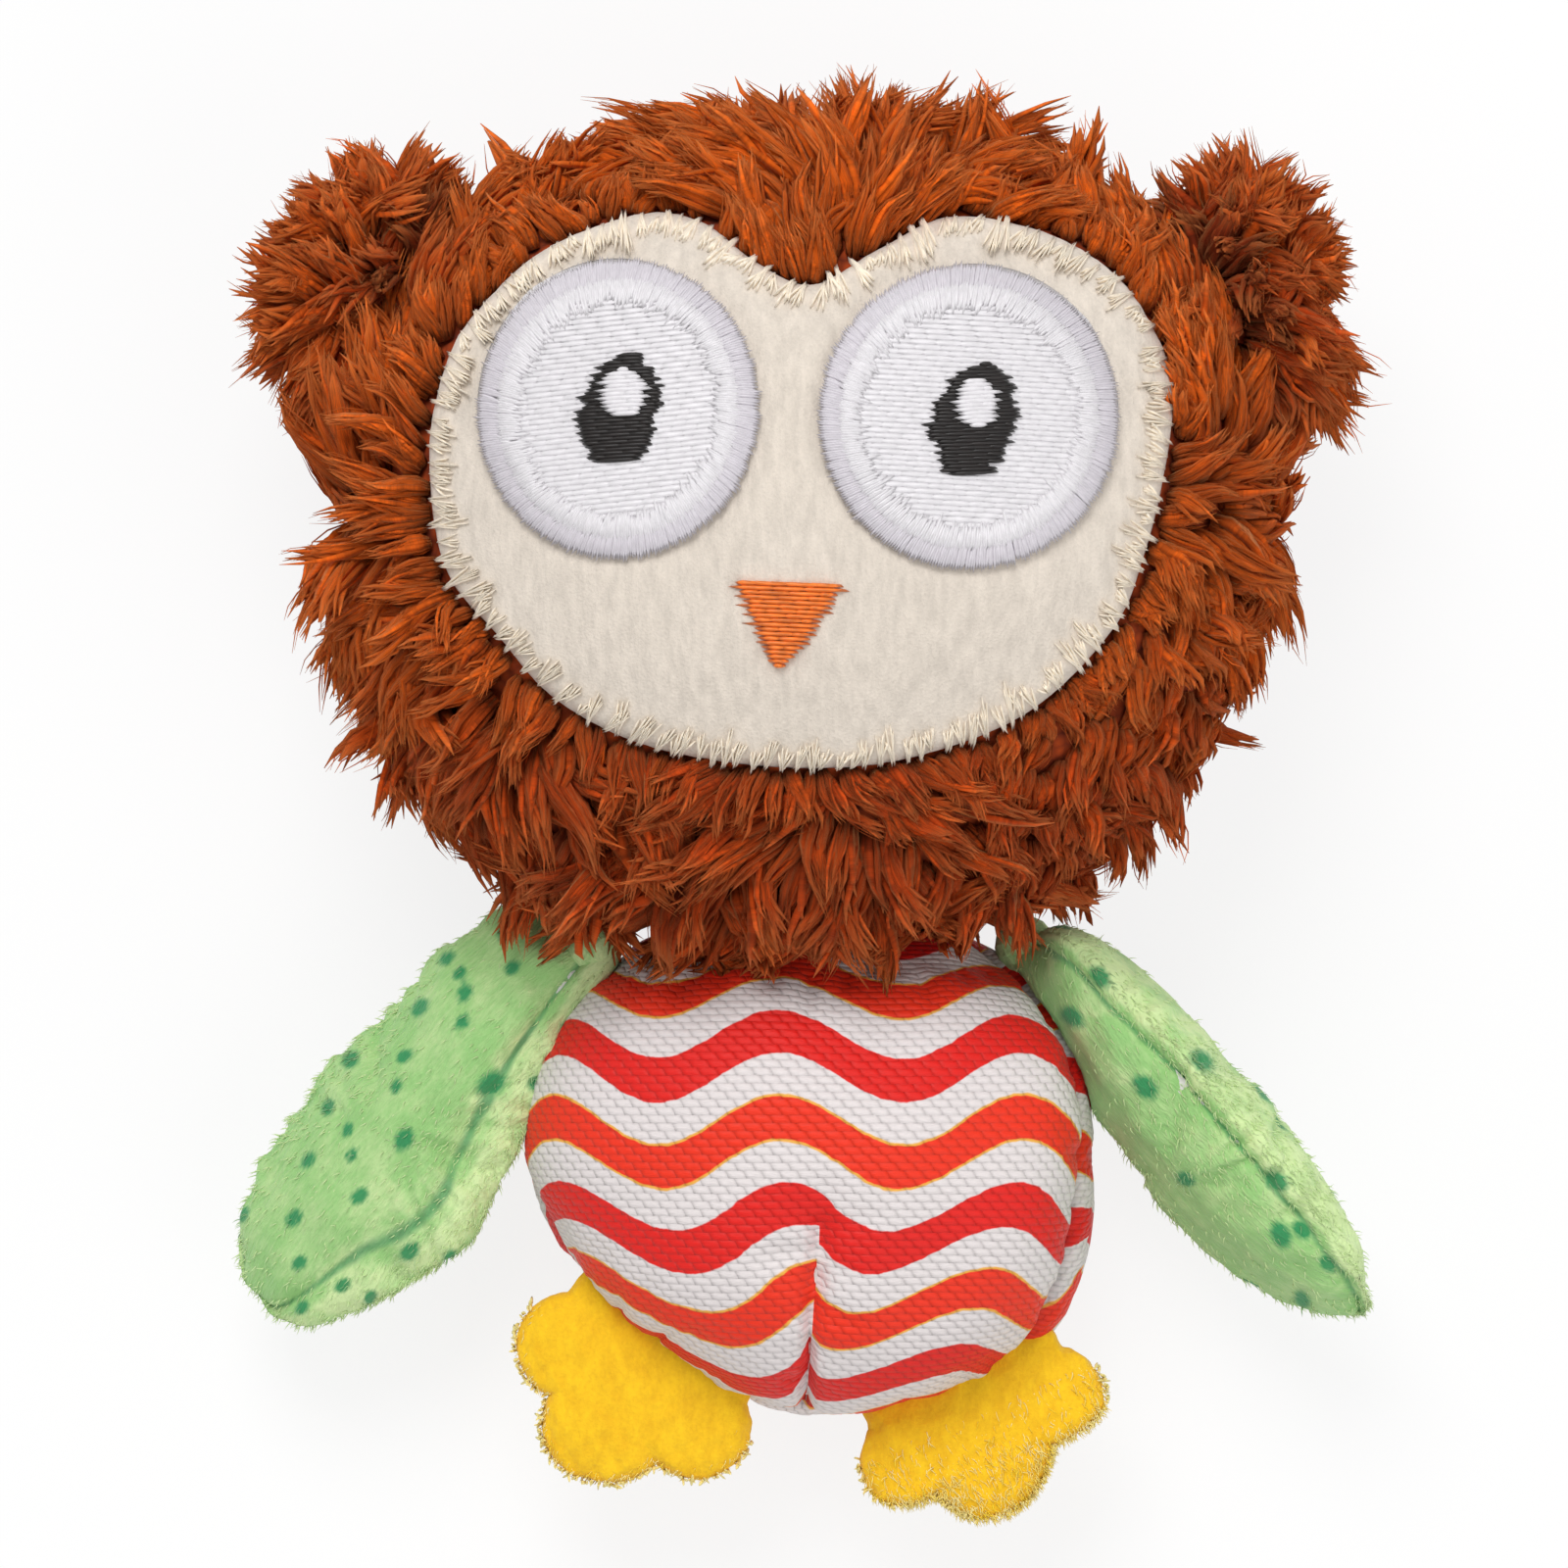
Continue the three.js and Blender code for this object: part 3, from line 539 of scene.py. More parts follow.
def scatter(name, places, parts, material, seed):
    """The mesh of parts set on places, and its points in millimetres.
    places holds points, turns, sizes and shades; parts are (points, faces, map) in millimetres."""
    points, turns, sizes, shades = places
    cloud = bpy.data.meshes.new(name)
    cloud.from_pydata((points / 1000).tolist(), [], [])
    for key, kind, field, rows in (
        ("turn", "FLOAT_VECTOR", "vector", turns),
        ("size", "FLOAT_VECTOR", "vector", sizes / 1000),
        ("shade", "FLOAT", "value", shades),
    ):
        layer = cloud.attributes.new(key, kind, "POINT")
        layer.data.foreach_set(field, np.asarray(rows, np.float32).ravel())
    holder = bpy.data.objects.new(name, cloud)
    bpy.context.scene.collection.objects.link(holder)
    kit = bpy.data.collections.new(f"{name}_parts")
    bpy.context.scene.collection.children.link(kit)
    temporary = []
    for number, (part_points, part_faces, part_map) in enumerate(parts):
        mesh = bpy.data.meshes.new(f"{name}_part_{number:02d}")
        mesh.from_pydata(part_points.tolist(), [], part_faces)
        layer = mesh.uv_layers.new(name="OFBake")
        corners = np.empty(len(mesh.loops), int)
        mesh.loops.foreach_get("vertex_index", corners)
        layer.data.foreach_set("uv", part_map[corners].astype(np.float32).ravel())
        mesh.shade_smooth()
        part = bpy.data.objects.new(mesh.name, mesh)
        kit.objects.link(part)
        temporary.append(part)
    tree = scatter_tree()
    modifier = holder.modifiers.new("Scatter parts", "NODES")
    modifier.node_group = tree
    sockets = {item.name: item.identifier for item in tree.interface.items_tree}
    modifier[sockets["Parts"]] = kit
    modifier[sockets["Material"]] = material
    modifier[sockets["Seed"]] = int(seed)
    depsgraph = bpy.context.evaluated_depsgraph_get()
    mesh = bpy.data.meshes.new_from_object(holder.evaluated_get(depsgraph),
        preserve_all_data_layers=True, depsgraph=depsgraph)
    for old in [holder, *temporary]:
        data = old.data
        bpy.data.objects.remove(old)
        bpy.data.meshes.remove(data)
    bpy.data.collections.remove(kit)
    if not len(mesh.polygons):
        raise RuntimeError(f"{name}: nothing was scattered")
    for key in ("turn", "size", "shade"):
        if key in mesh.attributes:
            mesh.attributes.remove(mesh.attributes[key])
    mesh.name = name
    if not mesh.materials:
        mesh.materials.append(material)
    mesh.shade_smooth()
    co = np.empty(len(mesh.vertices) * 3, np.float32)
    mesh.vertices.foreach_get("co", co)
    return mesh, co.reshape(-1, 3).astype(float) * 1000


def scattered_piece(name, places, parts, material, body, settle=None, seed=1):
    """A piece of parts set on places. settle moves its points to keep them clear of others."""
    mesh, points = scatter(name, places, parts, material, seed)
    if settle:
        mesh.vertices.foreach_set("co", (settle(points) / 1000).astype(np.float32).ravel())
        mesh.update()
    made = bpy.data.objects.new(name, mesh)
    bpy.context.scene.collection.objects.link(made)
    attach(made, body)
    return made


# Parts that are scattered


def fur_lock(random, reach, bend, strands=12, wisps=10):
    """A matted lock: strands drawn together into a few tips, round a core, with loose fibres."""
    tubes = []
    tips = random.normal(size=(3, 2)) * 0.42
    curl, phase = random.uniform(0.2, 0.7), random.uniform(0, 6)

    def wave(t):
        return curl * (np.sin(phase + 4.5 * t) - math.sin(phase)) * t

    t = np.linspace(0, 1, 6)
    gather = smooth(0.15, 1, t)[:, None]
    for number in range(-1, strands):
        core = number < 0
        way = 2 * math.pi * (number + random.uniform(-0.3, 0.3)) / strands
        away = np.array([math.cos(way), math.sin(way)]) * (0 if core else 1)
        end = tips[number % 3] * (0.3 if core else 1) + random.normal(size=2) * 0.12
        long = reach * (0.8 if core else random.uniform(0.66, 1.0))
        belly = away * 0.28 * random.uniform(0.5, 1.3)
        bulge = np.sin(math.pi * t**0.8)[:, None]
        aside = away * 0.44 * (1 - gather) + end * gather + belly * bulge
        sway = np.sin(t * random.uniform(2, 6) + random.uniform(0, 6)) * t * 0.14
        line = np.column_stack([aside[:, 0] + bend * t**2 + sway, aside[:, 1] + wave(t) - sway,
            long * (t - 0.1 * t**2)])
        thick = 0.62 if core else random.uniform(0.2, 0.33)
        profile = np.array([0.6, 1.0, 1.0, 0.88, 0.6, 0.07]) * thick
        sides = 6 if core else 3
        fluted = np.clip(1 + random.normal(size=(len(t), sides)) * 0.13, 0.6, 1.4)
        tubes.append(tube(line, profile[:, None] * fluted, sides, random.uniform(0, 6)))
    for _ in range(wisps):
        t = np.linspace(0, 1, 4)
        low = random.uniform(0.1, 0.6)
        high = min(1.12, low + random.uniform(0.35, 0.6))
        way = random.uniform(0, 2 * math.pi)
        away = np.array([math.cos(way), math.sin(way)])
        start, end = away * 0.85 * (1 - 0.5 * low), away * random.uniform(0.4, 1.3) * (1.35 - high)
        height = low + (high - low) * t
        bow = (t * (1 - t) * 4)[:, None]
        aside = start * (1 - t[:, None]) + end * t[:, None] + random.normal(size=2) * 0.25 * bow
        line = np.column_stack([aside[:, 0] + bend * height**2, aside[:, 1] + wave(height),
            reach * (height - 0.1 * height**2)])
        radii = random.uniform(0.035, 0.06) * np.array([0.9, 1, 0.8, 0.2])
        points, faces, places = tube(line, radii, 3)
        places[:, 1] = low + (high - low) * places[:, 1]
        tubes.append((points, faces, places))
    return joined(tubes)


LOCK = 8.0  # length that a lock is made with, before it is sized for its place


def fur_locks(seed, bends=(0.8, 3.2), count=14, reach=LOCK, **numbers):
    random = np.random.default_rng(seed)
    return [fur_lock(random, reach, random.uniform(*bends), **numbers) for _ in range(count)]


def tones(random, count, spread=0.16):
    """Shades of that many threads, from 0, dark, to 1, light."""
    return np.clip(0.5 + random.normal(size=count) * spread, 0.05, 0.95)


def thread_part():
    """One stitch, 1 long and 1 thick: a thread that dips into the cloth at both ends."""
    along = np.array([0, 0.06, 0.25, 0.5, 0.75, 0.94, 1.0])
    line = np.column_stack([along - 0.5, 0 * along, -0.42 * np.abs(2 * along - 1) ** 3])
    return tube(line, 0.5 * np.array([0.4, 0.85, 1, 1, 1, 0.85, 0.4]), 5)


def stitches(starts, ends, normals, width, height, shades):
    """Places for threads between starts and ends, lying on a surface with these normals."""
    x = unit(ends - starts)
    y = unit(np.cross(normals, x))
    z = np.cross(x, y)
    sizes = np.column_stack([np.linalg.norm(ends - starts, axis=1), np.broadcast_to(width, len(x)),
        np.broadcast_to(height, len(x))])
    return (starts + ends) / 2, turned(x, y, z), sizes, shades


# Materials


def fresh(name):
    """A material with an empty tree."""
    material = bpy.data.materials.new(name)
    material.use_nodes = True
    material.node_tree.nodes.clear()
    return material, material.node_tree


def surfaced(material, inputs, height=None, strength=1.0, distance=0.0):
    """The material, finished with a surface of these inputs and the relief of a height."""
    tree = material.node_tree
    if height:
        relief = {"Height": height, "Strength": strength, "Distance": distance}
        inputs["Normal"] = add(tree, "Bump", relief)
    add(tree, "OutputMaterial", {0: add(tree, "BsdfPrincipled", inputs)})
    return material


def own_map(tree):
    """The map of (around, along) that scattered parts carry, as X and Y."""
    return add(tree, "SeparateXYZ", {0: add(tree, "UVMap", uv_map="OFBake")}).outputs


def blended(tree, share_of, first, second):
    """A mix of two colours."""
    return add(tree, "Mix", {0: share_of, 6: first, 7: second}, data_type="RGBA").outputs[2]


def stretched(tree, place, shares):
    """A place, drawn out by a share along each axis."""
    return add(tree, "VectorMath", {0: place, 1: shares}, operation="MULTIPLY")


def noise(tree, place, scale, detail, roughness=0.5, distortion=0.0, **settings):
    """Soft noise over a place, from 0 to 1."""
    return add(tree, "TexNoise", {"Vector": place, "Scale": scale, "Detail": detail,
        "Roughness": roughness, "Distortion": distortion}, **settings)


def acrylic_fur(fur):
    """Long-pile acrylic fur, matted into locks: painted shade at their roots, painted highlight at
    their tips.
    """
    material, tree = fresh("acrylic_long_pile_fur")
    shade, along, _ = own_map(tree)
    # the shade value picks a step from painted shade (roots, chin, creases) to painted light
    # (crown), with tone that differs at random
    tint = add(tree, "ValToRGB", {0: shade}, stops=[(0.0, fur.root), (0.25, fur.chin),
        (0.45, fur.ear), (0.66, fur.cheek), (0.9, fur.crown), (1.0, [c * 1.2 for c in fur.crown])])
    # fibres about 0.1 mm apart round a lock, drawn as wavy streaks along it
    streaks = noise(tree, stretched(tree, add(tree, "CombineXYZ", {"X": shade, "Y": along}),
        (230, 3.6, 1)), 1.0, 5.0, roughness=0.75, distortion=0.5, noise_dimensions="2D")
    streak = remap(tree, streaks, 0.34, 0.66, 0.55, 1.42)
    # painted shade deeper in the pile, towards each lock's root
    painted_root_shade = add(tree, "ValToRGB", {0: along}, stops=[(0.0, 0.38), (0.25, 0.62), (0.55, 0.9),
        (1.0, 1.0)])
    body = add(tree, "VectorMath", {0: tint, "Scale": maths(tree, "MULTIPLY", painted_root_shade, streak)},
        operation="SCALE")
    # painted highlight on the locks' ends
    ends = remap(tree, along, 0.65, 1.1, 0.0, 0.42)
    lit = blended(tree, ends, body, fur.tip)
    return surfaced(material, {"Base Color": lit, "Roughness": 0.8, "Sheen Weight": 0.4,
        "Sheen Roughness": 0.4, "Sheen Tint": (0.95, 0.42, 0.16), "Specular IOR Level": 0.15},
        streaks, 0.8, 0.0002)


def knitted_backing(fur):
    """Knitted backing of the fur cloth, seen only between locks: matt, and dark with painted shade
    of the gaps.
    """
    material, tree = fresh("knitted_fur_backing")
    place = add(tree, "TexCoord").outputs["Object"]
    loops = add(tree, "TexVoronoi", {"Vector": place, "Scale": 1100.0})
    tint = blended(tree, loops, [c * 0.9 for c in fur.ear], fur.root)
    return surfaced(material, {"Base Color": tint, "Roughness": 0.95}, loops, 0.6, 0.0003)


def velour_cloth(name, tint, light, fine=0.22, streak=(1.6, 0.45, 1.6)):
    """Short brushed velour: a soft nap of 0.2 mm fibres, with streaks where it was stroked."""
    material, tree = fresh(name)
    place = add(tree, "TexCoord").outputs["Object"]
    nap = noise(tree, place, 1 / (fine / 1000), 3.0, roughness=0.6)
    stroke = noise(tree, add(tree, "Mapping", {0: place, "Scale": [s * 1000 for s in streak]}), 0.8,
        4.0, roughness=0.6)
    depth = maths(tree, "MULTIPLY_ADD", nap, 0.5, stroke)
    blend = remap(tree, depth, 0.55, 0.95)
    mixed = blended(tree, blend, [c * 0.86 for c in tint], light)
    return surfaced(material, {"Base Color": mixed, "Roughness": 0.92, "Sheen Weight": 0.25,
        "Sheen Roughness": 0.5, "Specular IOR Level": 0.25}, depth, 0.7, 0.00025)


def rayon_thread(name, tint, gloss=0.42, spread=0.2):
    """Twisted rayon embroidery thread: each thread catches the light along its length, and is in
    painted shade at both ends where it dives into the cloth.
    """
    material, tree = fresh(name)
    around, along, _ = own_map(tree)
    twist = noise(tree, stretched(tree, add(tree, "CombineXYZ", {"X": around, "Y": along}),
        (40, 5, 1)), 1.0, 2.0, noise_dimensions="2D")
    tone = remap(tree, twist, 0.3, 0.7, 1 - spread, 1 + spread * 0.4)
    # painted shade at both ends, where the thread dives into the cloth
    ends = add(tree, "ValToRGB", {0: along}, stops=[(0.0, 0.8), (0.08, 0.97), (0.5, 1.0),
        (0.92, 0.97), (1.0, 0.8)])
    shaded = maths(tree, "MULTIPLY", tone, ends)
    dyed = add(tree, "VectorMath", {0: tuple(tint), "Scale": shaded}, operation="SCALE")
    return surfaced(material, {"Base Color": dyed, "Roughness": gloss, "Sheen Weight": 0.1,
        "Specular IOR Level": 0.5})


def stitch_ground(name, tint):
    """Backing that shows between threads: needle-pricked cloth in the thread's colour, darkened as
    painted shade of the gaps between threads.
    """
    material, tree = fresh(name)
    place = add(tree, "TexCoord").outputs["Object"]
    grain = noise(tree, place, 2500.0, 2.0)
    mixed = blended(tree, grain, [c * 0.74 for c in tint], [c * 0.95 for c in tint])
    return surfaced(material, {"Base Color": mixed, "Roughness": 0.8})


DART_TAKES = 7.3  # width of cloth that the dart takes in at its foot
WAVE_START = 2.07 * 2 * math.pi / 18  # where in its wave the print starts at the body's middle
STRIPE_START = 1.07  # how far above the middle the first stripe's centre lies
BACK_SHIFT = [4.1, 2.3]  # how far the back panel's print is set off from the front's


def printed_basket_weave(body):
    """Polyester basket weave, printed in waves: short floats that catch the light one by one."""
    material, tree = fresh("printed_basket_weave")
    cloth = add(tree, "UVMap", uv_map="cloth")
    place = add(tree, "SeparateXYZ", {0: cloth})
    across, down = place.outputs[0], place.outputs[1]
    period, band = body.period * 1000, body.band * 1000
    # the dart takes a wedge out of the front, so the waves crowd towards it, and jump across it
    spot = add(tree, "SeparateXYZ", {0: add(tree, "TexCoord").outputs["Object"]})
    (top_x, top_y), (foot_x, foot_y) = DART_TOP / 1000, DART_FOOT / 1000
    line = remap(tree, spot.outputs[1], foot_y, top_y, foot_x, top_x, clamp=False)
    aside = maths(tree, "SUBTRACT", spot.outputs[0], line)
    blur = remap(tree, spot.outputs[1], top_y, top_y + 0.0055, 0.00005, 0.006)
    hand = remap(tree, maths(tree, "DIVIDE", aside, blur), -1.0, 1.0, -1.0, 1.0,
        interpolation_type="SMOOTHSTEP")
    fade = remap(tree, aside, -0.02, -0.007, 0.35, 1.0)
    front = maths(tree, "GREATER_THAN", spot.outputs[2], float(BODY.middle[2]) / 1000)
    below = remap(tree, spot.outputs[1], top_y + 0.0058, foot_y)
    taken = maths(tree, "POWER", below, 1.485)
    pull = hand
    for share_of in (fade, front, taken, DART_TAKES):
        pull = maths(tree, "MULTIPLY", pull, share_of)
    pulled = maths(tree, "ADD", across, pull)
    phase = maths(tree, "MULTIPLY_ADD", pulled, 2 * math.pi / (body.wave * 1000),
        WAVE_START)
    wave = maths(tree, "COSINE", phase)
    level = maths(tree, "MULTIPLY_ADD", wave, -body.wave_height * 1000, down)
    # printed a little unevenly, by about a thread
    drift = noise(tree, cloth, 0.9, 3.0)
    level = maths(tree, "MULTIPLY_ADD", drift, 0.35, level)
    turn = maths(tree, "MULTIPLY_ADD", level, 1 / (2 * period), 0.5 - STRIPE_START / (2 * period))
    cycle = maths(tree, "FRACT", turn)
    half, soft, edge = band / period / 4, 0.004, 0.012
    printed = add(tree, "ValToRGB", {0: cycle}, stops=[(0.0, body.crimson),
        (half - soft, body.crimson), (half + soft, body.white), (0.5 - half - edge, body.white),
        (0.5 - half - soft, body.fringe), (0.5 - half + soft, body.fringe),
        (0.5 - half + edge, body.vermilion), (0.5 + half - edge, body.vermilion),
        (0.5 + half - soft, body.fringe), (0.5 + half + soft, body.fringe),
        (0.5 + half + edge, body.white), (1 - half - soft, body.white),
        (1 - half + soft, body.crimson), (1.0, body.crimson)])
    # each float is a short pillow, dark where it dives under at its ends, every second row set off
    row = maths(tree, "MULTIPLY", down, 1 / (body.thread_width * 1000))
    level_row = maths(tree, "FLOOR", row)
    column = maths(tree, "MULTIPLY_ADD", across, 1 / (body.thread_length * 1000),
        maths(tree, "MULTIPLY_ADD", row, 0.2, maths(tree, "MULTIPLY", level_row, 0.3)))
    rises = []
    for place_on, power in ((column, 4), (row, 2)):
        part = maths(tree, "FRACT", place_on)
        centred = maths(tree, "MULTIPLY_ADD", part, 2, -1)
        edge_of = maths(tree, "ABSOLUTE", centred)
        rises.append(maths(tree, "POWER", edge_of, power))
    dips = maths(tree, "MULTIPLY_ADD", rises[1], 0.6, rises[0])
    yarn = noise(tree, stretched(tree, cloth, (2.2, 9, 1)), 1.0, 3.0)
    tone = maths(tree, "MULTIPLY_ADD", dips, -0.15, maths(tree, "MULTIPLY_ADD", yarn, 0.26, 0.87))
    # painted shadow along the groove of the side seam
    seam = add(tree, "Attribute", attribute_name="seam").outputs["Fac"]
    shadowed = maths(tree, "MULTIPLY", tone, maths(tree, "MULTIPLY_ADD", seam, -0.45, 1.0))
    height = maths(tree, "MULTIPLY_ADD", yarn, 0.5, 1.0)
    height = maths(tree, "SUBTRACT", height, dips)
    woven = add(tree, "Mix", {0: 1.0, 6: printed, 7: shadowed}, data_type="RGBA",
        blend_type="MULTIPLY")
    return surfaced(material, {"Base Color": woven.outputs[2], "Roughness": 0.55,
        "Specular IOR Level": 0.4, "Sheen Weight": 0.05}, height, 0.9, 0.00012)


def spotted_velour(limbs):
    """Green printed velour: mottled, stroked along the wing, with soft-edged spots."""
    material, tree = fresh("printed_green_velour")
    nap_place = add(tree, "UVMap", uv_map="nap")
    place = add(tree, "TexCoord").outputs["Object"]
    mottle = noise(tree, place, 300.0, 5.0, roughness=0.6)
    stroke = noise(tree, stretched(tree, nap_place, (0.6, 3.4, 1)), 1.0, 4.0, roughness=0.65)
    nap = noise(tree, stretched(tree, nap_place, (1.9, 7.5, 1)), 1.0, 2.0)
    blend = maths(tree, "MULTIPLY_ADD", stroke, 0.7, mottle)
    pale = remap(tree, blend, 0.74, 1.12, 0.0, 0.62)
    # painted sheen along the seam and the back panel's rolled edge, from the pale value
    edge = add(tree, "Attribute", attribute_name="pale").outputs["Fac"]
    ragged_edge = maths(tree, "MULTIPLY_ADD", mottle, 1.1, edge)
    edged = remap(tree, ragged_edge, 0.85, 1.25, 0.0, 0.8)
    paler = maths(tree, "ADD", pale, edged, use_clamp=True)
    green = blended(tree, paler, [c * 0.94 for c in limbs.green], limbs.pale_green)
    # painted shade in the seam's groove, in dashes as its stitches pull
    seam = add(tree, "Attribute", attribute_name="seam").outputs["Fac"]
    dashes = maths(tree, "MULTIPLY_ADD", mottle, 0.9, seam)
    dashed = remap(tree, dashes, 0.95, 1.45, 0.0, 0.72)
    spots = add(tree, "Attribute", attribute_name="print").outputs["Fac"]
    ragged = maths(tree, "MULTIPLY_ADD", nap, 0.5, spots)
    mask = remap(tree, ragged, 0.58, 0.98, 0.0, 0.92)
    dark = maths(tree, "MAXIMUM", mask, dashed)
    dyed = blended(tree, dark, green, limbs.spot)
    height = maths(tree, "MULTIPLY_ADD", nap, 0.6, stroke)
    return surfaced(material, {"Base Color": dyed, "Roughness": 0.85, "Sheen Weight": 0.3,
        "Sheen Roughness": 0.45, "Sheen Tint": (0.85, 1.0, 0.8), "Specular IOR Level": 0.3}, height,
        0.8, 0.0003)


def nap_fibre(name, light, dark):
    """Single fibres of a velour's nap, light ones and ones from its printed spots."""
    material, tree = fresh(name)
    around, _, _ = own_map(tree)
    tint = blended(tree, around, light, dark)
    return surfaced(material, {"Base Color": tint, "Roughness": 0.8, "Sheen Weight": 0.3,
        "Sheen Roughness": 0.4})


def stuffing(name, tint, grain, roughness=0.95):
    """Loose matter seen only when the toy is opened: fibre wads, muslin or dried leaf."""
    material, tree = fresh(name)
    place = add(tree, "TexCoord").outputs["Object"]
    wisps = noise(tree, place, 1000 / grain, 6.0, roughness=0.7, distortion=1.2)
    mixed = blended(tree, wisps, [c * 0.7 for c in srgb(tint)], srgb(tint))
    return surfaced(material, {"Base Color": mixed, "Roughness": roughness}, wisps, 0.8, 0.0004)


# Pieces

SECTORS = {
    # name: (from, to) in degrees round the head, counter-clockwise from its right
    "right_temple_fur": (5, 62), "crown_fur": (62, 118), "left_temple_fur": (118, 175),
    "left_cheek_fur": (175, 232), "left_chin_fur": (232, 270), "right_chin_fur": (270, 308),
    "right_cheek_fur": (308, 365),
}


BORDER = 150  # locks along the face patch's edge
BACK_FROM = -6  # height over the head's middle below which it is its back
# How long the pile lies at each angle round the head, as a share of its length
PILE = np.array([(0, 1.16), (25, 1.0), (55, 1.1), (76, 1.42), (95, 1.15), (118, 0.93), (155, 1.1),
    (180, 1.48), (193, 1.05), (201, 0.9), (208, 1.08), (228, 1.14), (250, 1.12), (270, 1.08),
    (290, 1.04), (312, 0.64), (320, 0.74), (335, 0.58), (352, 0.82), (360, 1.16)])


def head_places(spacing, seed):
    """Points spread over the head's form, with the directions out of its surface."""
    count = int(4 * math.pi * 781 / (spacing * spacing) * 1.12)
    random = np.random.default_rng(seed)
    number = np.arange(count) + 0.5
    height = 1 - 2 * number / count
    angle = number * GOLDEN_ANGLE
    ring = np.sqrt(1 - height * height)
    rays = np.stack([ring * np.cos(angle), height, ring * np.sin(angle)], 1)
    rays = unit(rays + random.normal(size=rays.shape) * 0.35 * spacing / 28)
    low, high = np.full(count, 2.0), np.full(count, 60.0)
    for _ in range(26):
        middle = (low + high) / 2
        inside = HEAD.level(HEAD.middle + rays * middle[:, None]) < 0
        low, high = np.where(inside, middle, low), np.where(inside, high, middle)
    points = HEAD.middle + rays * low[:, None]
    return points, HEAD.normals(points)


def lock_turns(grow, droop):
    """Turns that point locks along grow and bend them towards droop."""
    x = unit(droop - grow * np.sum(droop * grow, 1)[:, None])
    return turned(x, np.cross(grow, x), grow)


def face_distance(points):
    """How far points lie outside the face patch's edge, in plan."""
    away = points[:, :2] - FACE_MIDDLE
    angle = np.arctan2(away[:, 1], away[:, 0])
    return np.hypot(away[:, 0], away[:, 1]) - FACE_REACH(angle)


def settle_head_fur(points):
    """Fur lies over the body and wings, and stays above the table."""
    points = BODY.cleared(points, 0.5)
    for wing in WINGS.values():
        points = wing.cleared(points, 0.4)
    points[:, 2] = np.maximum(points[:, 2], TABLE)
    return points


